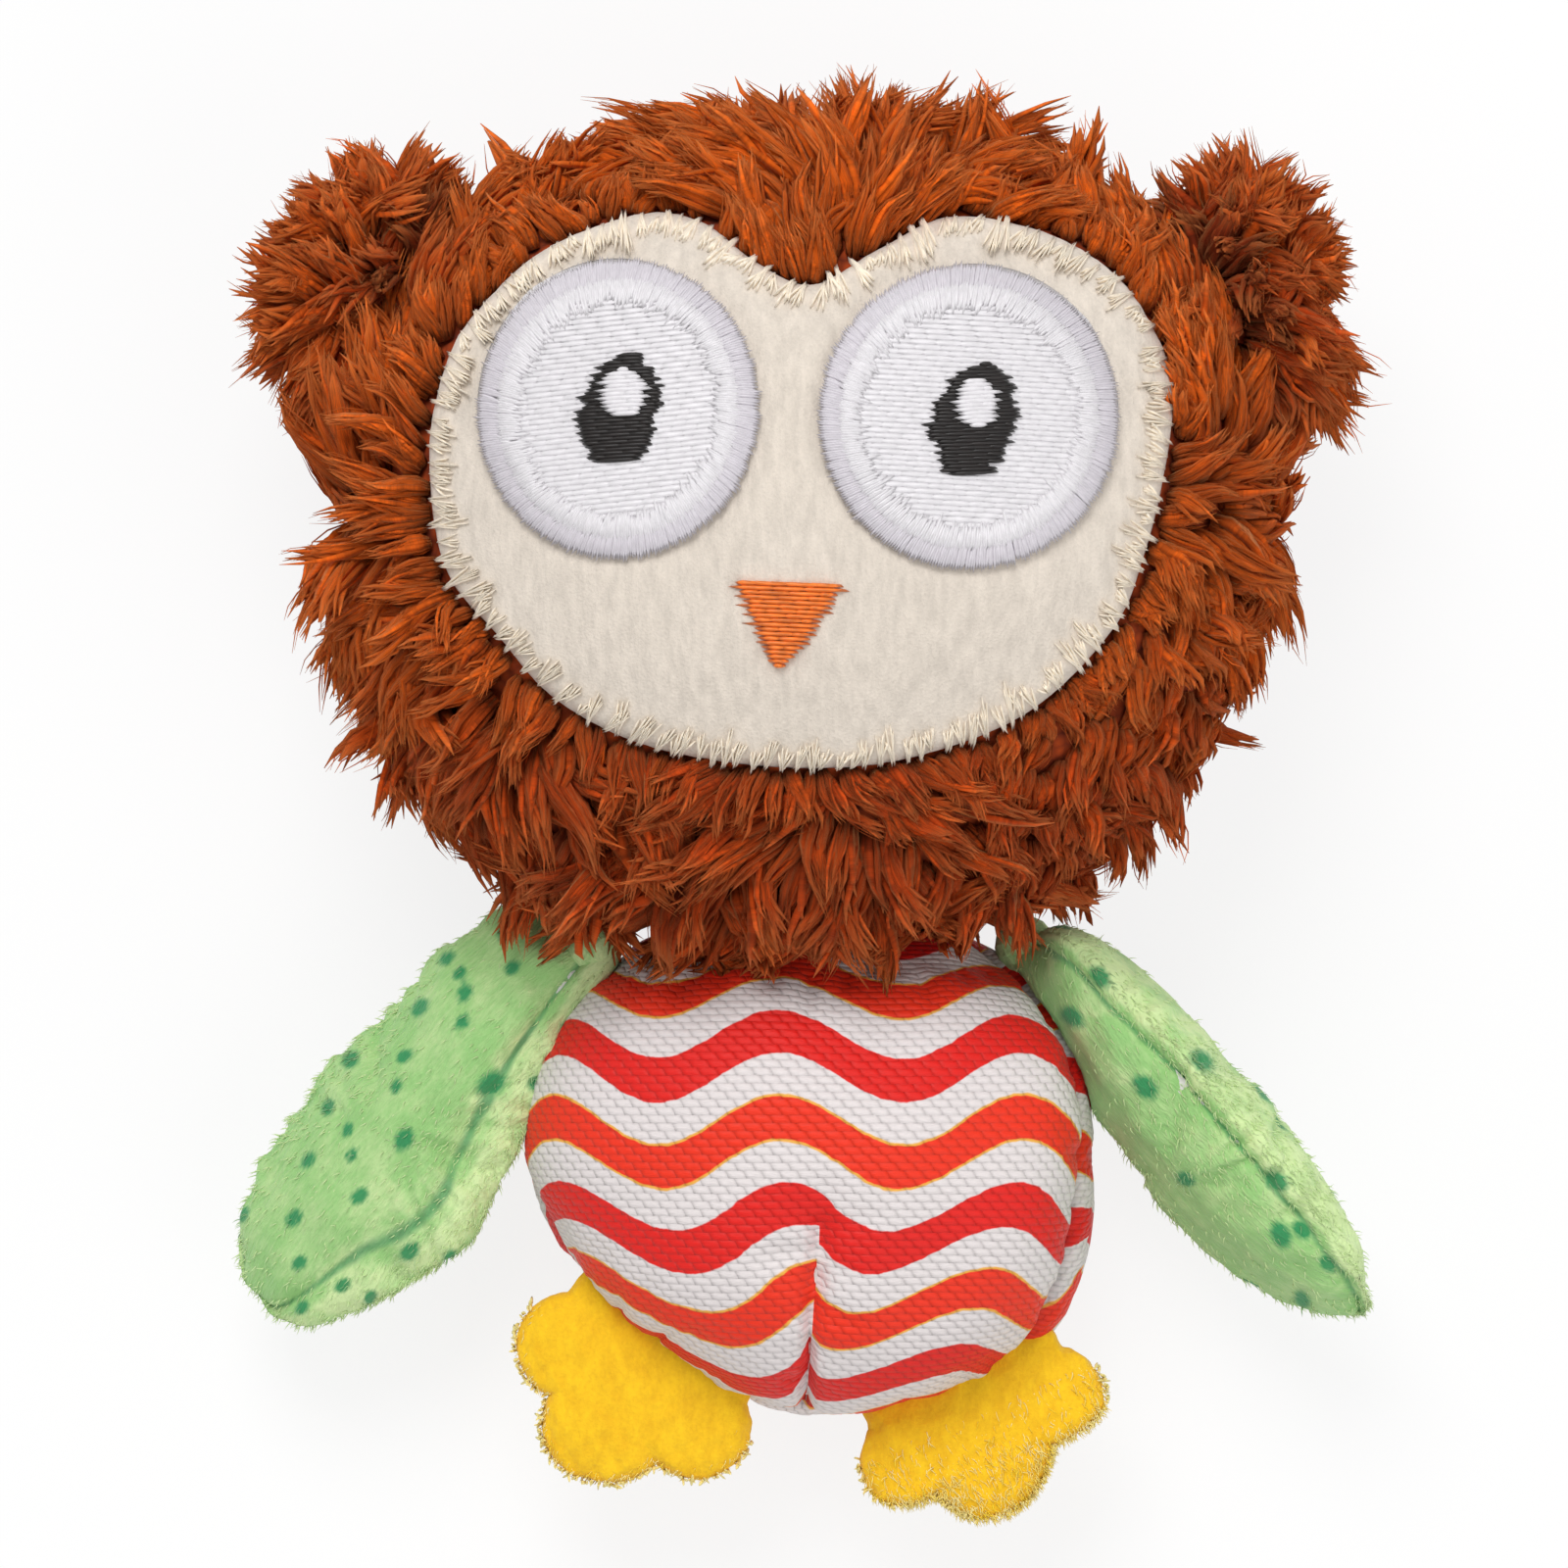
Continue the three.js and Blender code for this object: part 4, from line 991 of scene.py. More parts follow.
class OWL_OT_head_fur(bpy.types.Operator):
    """Make the head's fur cloth: its backing and the matted locks of its pile"""

    bl_idname = "owl.head_fur"
    bl_label = "Head fur"

    def execute(self, context):
        scene = context.scene
        fur, seed = scene.owl_fur, scene.owl_stage.seed
        random = np.random.default_rng(seed)
        points, *_, faces = HEAD.skin(64, grow=-0.2)
        points = HEAD.placed(points)
        points[:, 2] = np.maximum(points[:, 2], RESTING)
        backing = make_piece("head_backing", points, faces, knitted_backing(fur), "head")
        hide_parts("head_front_panel", "head_back_panel", "head_seam")

        roots, normals = head_places(fur.spacing * 1000, seed)
        # and a row close along the face patch's edge
        angle = np.linspace(0, 2 * math.pi, BORDER, endpoint=False)
        angle = angle + random.normal(size=BORDER) * 0.015
        reach = FACE_REACH(angle) + random.uniform(0.2, 0.9, BORDER)
        row = HEAD.front_at(FACE_MIDDLE + np.stack([np.cos(angle), np.sin(angle)], 1)
            * reach[:, None])
        roots, normals = np.vstack([roots, row]), np.vstack([normals, HEAD.normals(row)])
        away = face_distance(roots)
        on_face = (roots[:, 2] > HEAD.middle[2]) & (away < 0.1)
        resting = roots[:, 2] < 1.6
        hidden = BODY.level(roots, 0.8) < 0
        border = np.arange(len(roots)) >= len(roots) - BORDER
        thinned = (roots[:, 2] < HEAD.middle[2] + BACK_FROM) & (random.random(len(roots)) < 0.5)
        keep = ~(on_face | resting | hidden | thinned)
        pressed = roots[resting & ~hidden][::2]
        roots, normals, away, border = roots[keep], normals[keep], away[keep], border[keep]
        count = len(roots)

        # which way the pile lies: outwards, up the temples, down the cheeks, fanned above the
        # brow's notch, in swirls
        from_middle = roots - HEAD.middle
        turn = np.degrees(np.arctan2(from_middle[:, 1], from_middle[:, 0])) % 360
        outwards = unit(np.column_stack([from_middle[:, :2], np.zeros(count)]))
        front = smooth(-6, 10, from_middle[:, 2])
        at_side = smooth(0.3, 0.8, np.abs(outwards[:, 0]))
        cheek = smooth(2, -8, from_middle[:, 1]) * smooth(-30, -18, from_middle[:, 1]) * at_side
        temple = smooth(-2, 8, from_middle[:, 1]) * at_side
        chin = smooth(-10, -22, from_middle[:, 1])
        fan = roots - [NECK[0] + 0.5, NECK[1] + 41, HEAD.middle[2] + 15]
        notch = smooth(16, 4, np.linalg.norm(fan[:, :2], axis=1)) * front
        lie = (outwards + (1.4 * temple - 1.1 * cheek)[:, None] * [0, 1, 0]
            + 1.6 * notch[:, None] * unit(fan * [1, 1, 0]))
        lie -= normals * np.sum(lie * normals, 1)[:, None]
        lie = unit(lie + random.normal(size=(count, 3)) * 0.02)
        swirl = np.radians((38 + 30 * chin) * ripple(roots, 13, seed + 1)
            + 18 * ripple(roots, 4, seed + 5))
        lie = lie * np.cos(swirl)[:, None] + np.cross(normals, lie) * np.sin(swirl)[:, None]
        raised = (0.6 + 0.24 * ripple(roots, 5, seed + 6)
            + 0.3 * (1 - smooth(0.3, 2.5, away)) * front)
        raised = raised * (1 - 0.3 * chin) + 0.35 * border
        grow = unit(normals * raised[:, None] + lie * 0.85 + random.normal(size=(count, 3)) * 0.14)
        grow = unit(grow + normals * np.maximum(0.28 - np.sum(grow * normals, 1), 0)[:, None])
        droop = (lie * 0.8 - normals * 0.5 + random.normal(size=(count, 3)) * 0.5
            + chin[:, None] * [0, -0.5, 0])

        size = fur.reach * 1000 / LOCK * np.interp(turn, *PILE.T)
        size *= (1 - 0.34 * (1 - smooth(0.3, 5.0, away)) * front) * np.where(border, 0.8, 1)
        size *= 1 + 0.15 * ripple(roots, 5, seed + 2) + random.uniform(-0.12, 0.14, count)
        wide = random.uniform(1.0, 1.6, count) * np.where(from_middle[:, 2] < BACK_FROM, 1.3, 1.0)
        wide *= (1 - 0.2 * (1 - smooth(0.3, 4.0, away)) * front) * np.where(border, 0.75, 1)
        sizes = np.column_stack([wide, wide, size])
        # lighter towards the crown and darker under the chin: painted light and shade, with tone
        # that differs at random
        shade = (0.66 + 0.24 * smooth(0, 20, from_middle[:, 1])
            - 0.4 * smooth(-4, -24, from_middle[:, 1]))
        shade += 0.07 * ripple(roots, 9, seed + 3) + random.normal(size=count) * 0.06
        # painted shade in the crease round each ear
        for side in SIDES:
            near = np.linalg.norm((roots - joint_place(f"{side}_ear_fold"))[:, :2], axis=1)
            shade -= 0.5 * np.exp(-((near / 3.6) ** 2))
        shade = np.clip(shade, 0.03, 0.98)

        pile, turns = acrylic_fur(fur), lock_turns(grow, droop)
        locks = fur_locks(seed, count=18)
        plain_locks = fur_locks(seed + 1, count=8, strands=3, wisps=2)
        at_back = from_middle[:, 2] < BACK_FROM
        # where the head lies on the table, sparser locks are pressed flat under it
        random = np.random.default_rng(seed + 4)
        pressed[:, 2] = RESTING - 0.06
        flat = unit((pressed - HEAD.middle) * [1, 1, 0] + [0, 0, 1e-3])
        flat = unit(flat + random.normal(size=pressed.shape) * [0.45, 0.45, 0.03])
        short = random.uniform((1.2, 0.3, 0.6), (1.8, 0.42, 0.85), pressed.shape)
        under = lock_turns(flat, random.normal(size=pressed.shape) * [1, 1, 0.05])
        dark = 0.6 + random.normal(size=len(pressed)) * 0.08
        roots, turns, sizes, shade, at_back, turn = (np.concatenate(rows)
            for rows in ((roots, pressed), (turns, under), (sizes, short), (shade, dark),
            (at_back, np.ones(len(pressed), bool)), (turn, np.zeros(len(pressed)))))
        groups = {"nape_fur": at_back}
        for name, (start, end) in SECTORS.items():
            groups[name] = ~at_back & (((turn - start) % 360) < (end - start))
        for name, chosen in groups.items():
            scattered_piece(name, (roots[chosen], turns[chosen], sizes[chosen], shade[chosen]),
                plain_locks if name == "nape_fur" else locks, pile, "head",
                settle_head_fur, seed=seed)
        return {"FINISHED"}


class OWL_OT_ears(bpy.types.Operator):
    """Make the two ears, tufts of the same long-pile fur"""

    bl_idname = "owl.ears"
    bl_label = "Ears"

    def execute(self, context):
        scene = context.scene
        fur, seed = scene.owl_fur, scene.owl_stage.seed
        backing, pile = knitted_backing(fur), acrylic_fur(fur)
        locks = fur_locks(seed + 5, bends=(0.6, 3.6), count=12)
        for number, side in enumerate(SIDES):
            random = np.random.default_rng(seed + 10 + number)
            matrix = spin(0, 0, EARS[side])
            middle = joint_place(f"{side}_ear_fold") + matrix @ np.array([4.2, 0, 0])
            ear = Form(middle, lambda a: 5.0 * (0.8 + 0.45 * np.sin(a)**2), 2.6, 2.6, 2.2, matrix)
            points, *_, faces = ear.skin(28)
            points = HEAD.cleared(ear.placed(points), 0.3)
            skin = make_piece(f"{side}_ear_backing", points, faces, backing, f"{side}_ear")
            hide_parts(f"{side}_ear_front", f"{side}_ear_back")
            count = 170
            place = np.arange(count) + 0.5
            height, angle = 1 - 2 * place / count, place * GOLDEN_ANGLE
            ring = np.sqrt(1 - height * height)
            rays = np.stack([ring * np.cos(angle), ring * np.sin(angle), height], 1)
            rays = unit(rays + random.normal(size=rays.shape) * 0.08)
            outer = rays[:, 0] > -0.8
            rays = rays[outer]
            roots = rays * [3.9, 6.0, 2.6]
            swirl = np.radians(55 * ripple(roots, 5, seed + 8 + number))
            lie = unit(rays * [0.75, 0.75, 0.1] + [0.55, 0, 0] + [0, 0, 1e-3])
            lie = lie * np.cos(swirl)[:, None] + np.cross([0, 0, 1], lie) * np.sin(swirl)[:, None]
            grow = unit(lie * 0.9 + rays * [0.4, 0.4, 0.8] + random.normal(size=rays.shape) * 0.22)
            roots, grow, rays = ear.placed(roots), grow @ matrix.T, rays @ matrix.T
            grow = unit(grow + [0, -0.14, 0])
            clear = HEAD.level(roots, 0.2) > 0
            roots, grow, rays = roots[clear], grow[clear], rays[clear]
            droop = rays * [0.6, 0.6, -0.5] + random.normal(size=grow.shape) * 0.5 + [0, -0.35, 0]
            seen = np.degrees(np.arctan2(roots[:, 1] - middle[1], roots[:, 0] - middle[0])) % 360
            long = np.interp(seen, *np.array(EAR_PILE[side]).T, period=360)
            long = fur.ear_reach * 1000 / LOCK * long
            long *= random.uniform(0.8, 1.2, len(roots))
            wide = random.uniform(1.0, 1.6, len(roots))
            shade = 0.58 + 0.12 * ripple(roots, 7, seed + 4) + random.normal(size=len(roots)) * 0.07
            # painted shade in the crease beside the head
            shade -= 0.55 * smooth(4, 0.5, np.abs(face_distance(roots) - 6))
            sizes = np.column_stack([wide, wide, long])
            places = roots, lock_turns(grow, droop), sizes, np.clip(shade, 0.04, 0.7)
            scattered_piece(f"{side}_ear_fur", places, locks, pile, f"{side}_ear",
                lambda p: HEAD.cleared(p, 0.4), seed=seed)
        return {"FINISHED"}


PATCH_LOW, PATCH_HIGH = 0.25, 1.2  # underside and top of the face patch above the head's form


class OWL_OT_face_patch(bpy.types.Operator):
    """Make the heart-notched patch of cream velour"""

    bl_idname = "owl.face_patch"
    bl_label = "Face patch"

    def execute(self, context):
        face = context.scene.owl_face
        shares, angles, faces, rim = grid(120)
        distance = shares * FACE_REACH(angles)
        places = FACE_MIDDLE + np.stack([distance * np.cos(angles), distance * np.sin(angles)], 1)
        inwards = (1 - shares) * FACE_REACH(angles)
        lift = PATCH_LOW + (PATCH_HIGH - PATCH_LOW) * np.sqrt(np.clip(inwards / 1.1, 0, 1))
        # pressed in round the stitched eyes, and lifted softly between them
        for eye in EYES.values():
            out = np.hypot(*((places - eye["middle"]) / eye["half"]).T)
            lift -= 0.28 * np.exp(-(((out - 1.02) / 0.07) ** 2))
        lift += 0.10 * ripple(places, 9, 31) * smooth(0, 3, inwards)
        lift += 0.035 * ripple(places * [1, 0.5], 1.1, 32, 24)
        ground, outwards = HEAD.front_at(places), HEAD.normals(HEAD.front_at(places, 0.2))
        top, under = ground + outwards * lift[:, None], ground + outwards * 0.05
        points = np.concatenate([top, under[~rim]])
        cream = velour_cloth("cream_velour", face.cloth, [min(1, c * 1.06) for c in face.cloth])
        patch = make_piece("face_velour", points, two_sided(faces, rim), cream, "head")
        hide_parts("face_patch")
        return {"FINISHED"}


def ends_on_face(starts, ends, lift):
    """Thread ends given in plan, raised onto the face, with the normals between them."""
    starts, ends = HEAD.front_at(starts, lift), HEAD.front_at(ends, lift)
    return starts, ends, HEAD.normals((starts + ends) / 2)


class OWL_OT_face_stitches(bpy.types.Operator):
    """Make the overlock stitches round the face patch"""

    bl_idname = "owl.face_stitches"
    bl_label = "Face stitches"

    def execute(self, context):
        face, seed = context.scene.owl_face, context.scene.owl_stage.seed
        random = np.random.default_rng(seed + 20)
        line = np.vstack([FACE_LINE, FACE_LINE[:1]])
        steps = np.concatenate([[0], np.cumsum(np.linalg.norm(np.diff(line, axis=0), axis=1))])
        pitch = face.edge_pitch * 1000
        count = int(steps[-1] / pitch)

        def at(distance, inwards):
            distance = distance % steps[-1]
            place = np.column_stack([np.interp(distance, steps, line[:, k]) for k in (0, 1)])
            ahead = unit(np.column_stack([np.interp((distance + 0.3) % steps[-1], steps,
                line[:, k]) for k in (0, 1)]) - place)
            return place + np.stack([-ahead[:, 1], ahead[:, 0]], 1) * inwards[:, None]

        starts, ends, shades = [], [], []
        # each stitch is a bundle of strands that leans, and forks as it runs inwards
        station = np.arange(count) * steps[-1] / count + random.normal(size=count) * 0.2
        depth = 1.35 + random.normal(size=count) * 0.35
        over = -0.1 + random.normal(size=count) * 0.16
        lean = 0.25 + random.normal(size=count) * 0.22
        for fork in (-1, 0, 1):
            for strand in range(2):
                offset = (strand - 0.5) * 0.2 + random.normal(size=count) * 0.06
                reach = depth * random.uniform(0.7, 1.1, count) * (0.8 if fork else 1)
                starts.append(at(station + lean + fork * pitch * 0.3 + offset * 1.5, reach))
                ends.append(at(station + offset * 0.8, over + random.normal(size=count) * 0.1))
                shades.append(0.5 + random.normal(size=count) * 0.16)
        starts, ends = np.concatenate(starts), np.concatenate(ends)
        inner = HEAD.front_at(starts, PATCH_HIGH + 0.16)
        outer = HEAD.front_at(ends, PATCH_HIGH - 0.15)
        normals = HEAD.normals((inner + outer) / 2)
        places = stitches(inner, outer, normals, 0.18, 0.7,
            np.clip(np.concatenate(shades), 0.05, 0.95))
        ivory = rayon_thread("ivory_rayon_thread", face.edge_thread, gloss=0.3, spread=0.22)
        made = scattered_piece("face_edge_stitches", places, [thread_part()], ivory, "head",
            seed=seed)
        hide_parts("face_stitching")
        return {"FINISHED"}


def turned_place(middle, along, up, degrees):
    """Places in plan, from measures along and up a turned frame."""
    a = math.radians(degrees)
    return np.column_stack([middle[0] + along * math.cos(a) - up * math.sin(a),
        middle[1] + along * math.sin(a) + up * math.cos(a)])


def rows_of_stitches(middle, half_at, low, high, pitch, stitch, degrees, random, jag=0.12,
        brick=0.5):
    """Rows of thread over a shape: starts and ends in plan. half_at gives, for a height over the
    middle, how far a row reaches to the left and to the right."""
    starts, ends = [], []
    for number, height in enumerate(np.arange(low + pitch / 2, high, pitch)):
        left, right = half_at(height)
        if right - left < 0.3:
            continue
        left, right = left + random.normal() * jag, right + random.normal() * jag
        cuts = np.arange(left - (number * brick % 1) * stitch, right, stitch)
        cuts = cuts + random.normal() * 0.1
        cuts = np.concatenate([[left], cuts[(cuts > left + 0.5) & (cuts < right - 0.5)], [right]])
        start = turned_place(middle, cuts[:-1], np.full(len(cuts) - 1, height), degrees)
        end = turned_place(middle, cuts[1:], np.full(len(cuts) - 1, height), degrees)
        starts.append(start), ends.append(end)
    return np.concatenate(starts), np.concatenate(ends)


def oval_reach(half):
    """How far a row at some height over an oval's middle reaches to each side."""

    def reach(height):
        width = half[0] * math.sqrt(max(0, 1 - (height / half[1]) ** 2))
        return -width, width

    return reach


def ground_disc(name, middle, half, turn, lift, material):
    """A thin oval of cloth on the face, under the threads."""
    shares, angles, faces, rim = grid(40)
    places = turned_place(middle, shares * np.cos(angles) * half[0],
        shares * np.sin(angles) * half[1], turn)
    outwards = HEAD.normals(HEAD.front_at(places, 0.2))
    top = HEAD.front_at(places, 0) + outwards * (lift - 0.25 * rim)[:, None]
    under = top - [0, 0, 0.35]
    points = np.concatenate([top, under[~rim]])
    return make_piece(name, points, two_sided(faces, rim), material, "head")


class OWL_OT_eyes(bpy.types.Operator):
    """Make the stitched eyes: satin rims, filled whites, pupils and highlights"""

    bl_idname = "owl.eyes"
    bl_label = "Eyes"

    def execute(self, context):
        face, seed = context.scene.owl_face, context.scene.owl_stage.seed
        pitch = face.row_pitch * 1000
        part = [thread_part()]
        white = rayon_thread("white_rayon_thread", face.eye_thread, gloss=0.4, spread=0.10)
        lilac = rayon_thread("lilac_grey_rayon_thread", face.rim_thread, gloss=0.4, spread=0.10)
        black = rayon_thread("black_rayon_thread", face.pupil_thread, gloss=0.45, spread=0.5)
        ground = stitch_ground("white_stitch_ground", face.eye_thread)
        for number, side in enumerate(SIDES):
            eye, random = EYES[side], np.random.default_rng(seed + 30 + number)
            middle, half = eye["middle"], np.array(eye["half"])
            lift = PATCH_HIGH + 0.12
            ground_disc(f"{side}_eye_ground", middle, half - 0.35, EYE_TURN, lift + 0.05, ground)

            rims = []
            for outer, inner, count, raise_by, wide in (
                (0.0, -1.6, 360, 0.18, 0.3), (-1.3, -2.7, 320, 0.24, 0.3),
            ):
                angle = 2 * math.pi * (np.arange(count) + random.normal(size=count) * 0.12) / count
                out = outer + random.normal(size=count) * 0.06
                into = inner + random.normal(size=count) * 0.22
                lean = 0.02
                a = turned_place(middle, np.cos(angle) * (half[0] + out),
                    np.sin(angle) * (half[1] + out), EYE_TURN)
                b = turned_place(middle, np.cos(angle + lean) * (half[0] + into),
                    np.sin(angle + lean) * (half[1] + into), EYE_TURN)
                a, b, normals = ends_on_face(a, b, lift + raise_by)
                shade = tones(random, count)
                rims.append(stitches(a, b, normals, wide, 0.55, shade))
            rim = scattered_piece(f"{side}_eye_outer_rim", rims[0], part, lilac, "head",
                seed=seed)
            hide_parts(f"{side}_eye_rim")
            scattered_piece(f"{side}_eye_inner_rim", rims[1], part, white, "head",
                seed=seed)

            inside = half - 2.4
            pupil_half = eye["pupil_half"]
            pupil_reach = lambda h: [np.interp(h / pupil_half[1], PUPIL[:, 0], PUPIL[:, k])
                * pupil_half[0] for k in (1, 2)]
            glint, glint_half = eye["glint"], eye["glint_half"]
            for (name, node, place, tall, reach, rows,
                 raise_by, width, high, spread, thread, slot) in (
                ("white", "eye_fill", middle, inside[1], oval_reach(inside),
                 dict(pitch=pitch, stitch=1.9, degrees=eye["row_turn"], brick=0.37),
                 0.12, pitch * 1.3, 0.32, 0.16, white, "white_thread"),
                ("pupil", "pupil", eye["pupil"], pupil_half[1], pupil_reach,
                 dict(pitch=0.27, stitch=2.2, degrees=3, jag=0.2),
                 0.34, 0.38, 0.42, 0.2, black, "black_thread"),
                ("highlight", "eye_glint", glint, glint_half[1], oval_reach(glint_half),
                 dict(pitch=0.3, stitch=3.2, degrees=3),
                 0.6, 0.4, 0.4, 0.1, white, "white_thread"),
            ):
                starts, ends = rows_of_stitches(place, reach, -tall, tall, random=random, **rows)
                starts, ends, normals = ends_on_face(starts, ends, lift + raise_by)
                shade = tones(random, len(starts), spread)
                made = scattered_piece(f"{side}_eye_{name}", stitches(starts, ends, normals, width,
                    high, shade), part, thread, "head", seed=seed)
                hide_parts(f"{side}_{node}")
        return {"FINISHED"}


class OWL_OT_beak(bpy.types.Operator):
    """Make the satin-stitched beak"""

    bl_idname = "owl.beak"
    bl_label = "Beak"

    def execute(self, context):
        face, seed = context.scene.owl_face, context.scene.owl_stage.seed
        random = np.random.default_rng(seed + 40)
        orange = rayon_thread("orange_rayon_thread", face.beak_thread, gloss=0.4, spread=0.35)
        left, right, tip = BEAK
        middle = np.array([tip[0], tip[1]])
        tall = (left[1] + right[1]) / 2 - tip[1]

        def reach(h):
            t = h / tall
            return (left[0] - tip[0]) * t, (right[0] - tip[0]) * t

        layers = []
        for lift, pitch, stitch in ((0.1, 0.34, 3.4), (0.34, 0.34, 2.3)):
            starts, ends = rows_of_stitches(middle, reach, 0, tall, pitch, stitch, -2, random)
            starts, ends, normals = ends_on_face(starts, ends, PATCH_HIGH + lift)
            shade = tones(random, len(starts), 0.2)
            layers.append(stitches(starts, ends, normals, 0.36, 0.5, shade))
        places = tuple(np.concatenate(rows) for rows in zip(*layers))
        made = scattered_piece("beak_satin", places, [thread_part()], orange, "head",
            seed=seed)
        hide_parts("beak")
        return {"FINISHED"}


def arc_map(form, points):
    """How far each point lies from the form's middle lines, measured along the cloth."""
    own = form.own(points)
    result = np.zeros((len(own), 2))
    for axis in (0, 1):
        start = own.copy()
        start[:, axis] = 0
        last, total = None, np.zeros(len(own))
        for share_of in np.linspace(0, 1, 33):
            here = start + (own - start) * share_of
            s = np.hypot(here[:, 0], here[:, 1]) / form.reach(np.arctan2(here[:, 1], here[:, 0]))
            here[:, 2] = form.front * np.sqrt(np.maximum(1 - s**form.swell, 0))
            if last is not None:
                total += np.linalg.norm(here - last, axis=1)
            last = here
        result[:, axis] = total * np.sign(own[:, axis])
    return result


def body_seam(points):
    """How far in front of its edge the body's side seam lies, at its own points."""
    return 3.0 * smooth(9, 19, points[:, 0]) * smooth(-19, -12, points[:, 1])


class OWL_OT_body(bpy.types.Operator):
    """Make the stuffed body of striped cloth, with its side seam and dart"""

    bl_idname = "owl.body"
    bl_label = "Body"

    def execute(self, context):
        body, seed = context.scene.owl_body, context.scene.owl_stage.seed
        points, _, angles, sides, faces = BODY.skin(120)
        places = BODY.placed(points)
        front_map = arc_map(BODY, places)
        back_map = front_map * [-1, 1] + BACK_SHIFT
        # the right side's seam lies in front of the edge, so the back panel shows beyond it
        seam = body_seam(points)
        from_seam = np.abs(points[:, 2] - seam)
        behind = (points[:, 2] < seam - 1e-6)[faces].sum(1) > 1
        cloth_map = np.where(behind[:, None, None], back_map[faces], front_map[faces])
        normals = BODY.normals(places)
        out = BODY.reach(angles)
        # the seam draws the cloth in, with a pucker every few millimetres
        draw = 0.9 * np.exp(-((from_seam / 0.8) ** 1.3))
        pucker = np.sin(angles * out / 1.9 + 1.4 * np.sin(angles * 7))
        pucker = pucker * ripple(places, 7, seed + 51)
        move = -draw + 0.42 * pucker * np.exp(-from_seam / 3.2)
        move += 0.34 * ripple(places, 13, seed + 52)
        # the dart: a sewn valley up the front, with short drag lines at its top
        tall = np.linalg.norm(DART_TOP - DART_FOOT)
        along = (DART_TOP - DART_FOOT) / tall
        sideways = np.array([along[1], -along[0]])
        rise = (places[:, :2] - DART_FOOT) @ along
        aside = (places[:, :2] - DART_FOOT) @ sideways
        within = smooth(tall + 1.2, tall - 1.0, rise) * (sides >= 0) * (points[:, 2] > 0)
        move -= within * (1.15 * np.exp(-np.abs(aside) / 0.42)
            + 0.35 * np.exp(-np.abs(aside) / 1.8))
        move += within * 0.16 * np.sin(rise * 2 * math.pi / 2.6) * np.exp(-np.abs(aside) / 1.5)

        def held(coarse):
            from_dart = np.abs((BODY.placed(coarse)[:, :2] - DART_FOOT) @ sideways)
            below_top = coarse[:, 1] < DART_TOP[1] - BODY.middle[1]
            on_dart = (from_dart < 0.7) & (coarse[:, 2] > 0) & below_top
            at_seam = np.abs(coarse[:, 2] - body_seam(coarse)) < 0.6
            return (at_seam | on_dart | (coarse[:, 1] > 14)).astype(float)

        places = places + normals * move[:, None] + pressed_out(BODY, points, 56, held, 1.1)
        places = HEAD.cleared(places, 1.3)
        places[:, 2] = np.maximum(places[:, 2], 0.02)
        # the seam value is painted shadow along the side seam's groove
        made = make_piece("body_cloth", places, faces, printed_basket_weave(body), "torso",
            maps={"cloth": cloth_map.reshape(-1, 2)},
            values={"seam": np.exp(-((from_seam / 0.5) ** 2))})
        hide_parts("body_front_panel", "body_back_panel", "body_seam", "dart_seam")
        return {"FINISHED"}


def stuffed(points, faces, held, cap, growth=0.05, pressure=4.0, scale=20.0):
    """Cloth simulation: how far each point of a cover moves as its filling presses it outwards.

    The cover is a little larger than its form, so it puckers along the seams that hold it. It is
    simulated enlarged, since Cloth's settings suit things of about a metre.
    """
    scene = bpy.context.scene
    mesh = bpy.data.meshes.new("cover")
    mesh.from_pydata((points * scale / 1000).tolist(), [], faces.tolist())
    cover = bpy.data.objects.new("cover", mesh)
    scene.collection.objects.link(cover)
    group = cover.vertex_groups.new(name="held")
    for number in np.flatnonzero(held > 0.01):
        group.add([int(number)], float(held[number]), "REPLACE")
    cloth = cover.modifiers.new("Cloth", "CLOTH")
    settings = cloth.settings
    settings.quality, settings.mass = 6, 0.2
    settings.use_pressure, settings.uniform_pressure_force = True, pressure
    settings.vertex_group_mass, settings.shrink_min = "held", -growth
    settings.bending_stiffness, settings.effector_weights.gravity = 0.3, 0
    cloth.point_cache.frame_start, cloth.point_cache.frame_end = 1, 20
    for number in range(1, 21):
        scene.frame_set(number)
    shown = cover.evaluated_get(bpy.context.evaluated_depsgraph_get()).to_mesh()
    moved = np.empty(len(points) * 3)
    shown.vertices.foreach_get("co", moved)
    moved = moved.reshape(-1, 3) * 1000 / scale - points
    bpy.data.objects.remove(cover)
    bpy.data.meshes.remove(mesh)
    scene.frame_set(1)
    far = np.linalg.norm(moved, axis=1)
    if not np.isfinite(far).all() or far.max() == 0:
        raise RuntimeError("the cloth simulation gave no result")
    return moved * np.minimum(1, cap / np.maximum(far, 1e-9))[:, None]


def pressed_out(form, points, n, held_at, cap):
    """The simulated move of a form's cover, found on a coarse grid, at each of the points."""
    coarse, *_, faces = form.skin(n)
    move = stuffed(coarse, faces, held_at(coarse), cap)
    tree = KDTree(len(coarse))
    for number, place in enumerate(coarse):
        tree.insert(place, number)
    tree.balance()
    result = np.empty_like(points)
    for number, place in enumerate(points):
        near = tree.find_n(place, 5)
        weights = np.array([1 / (distance**2 + 0.01) for _, _, distance in near])
        result[number] = weights @ move[[index for _, index, _ in near]] / weights.sum()
    return result @ form.matrix.T


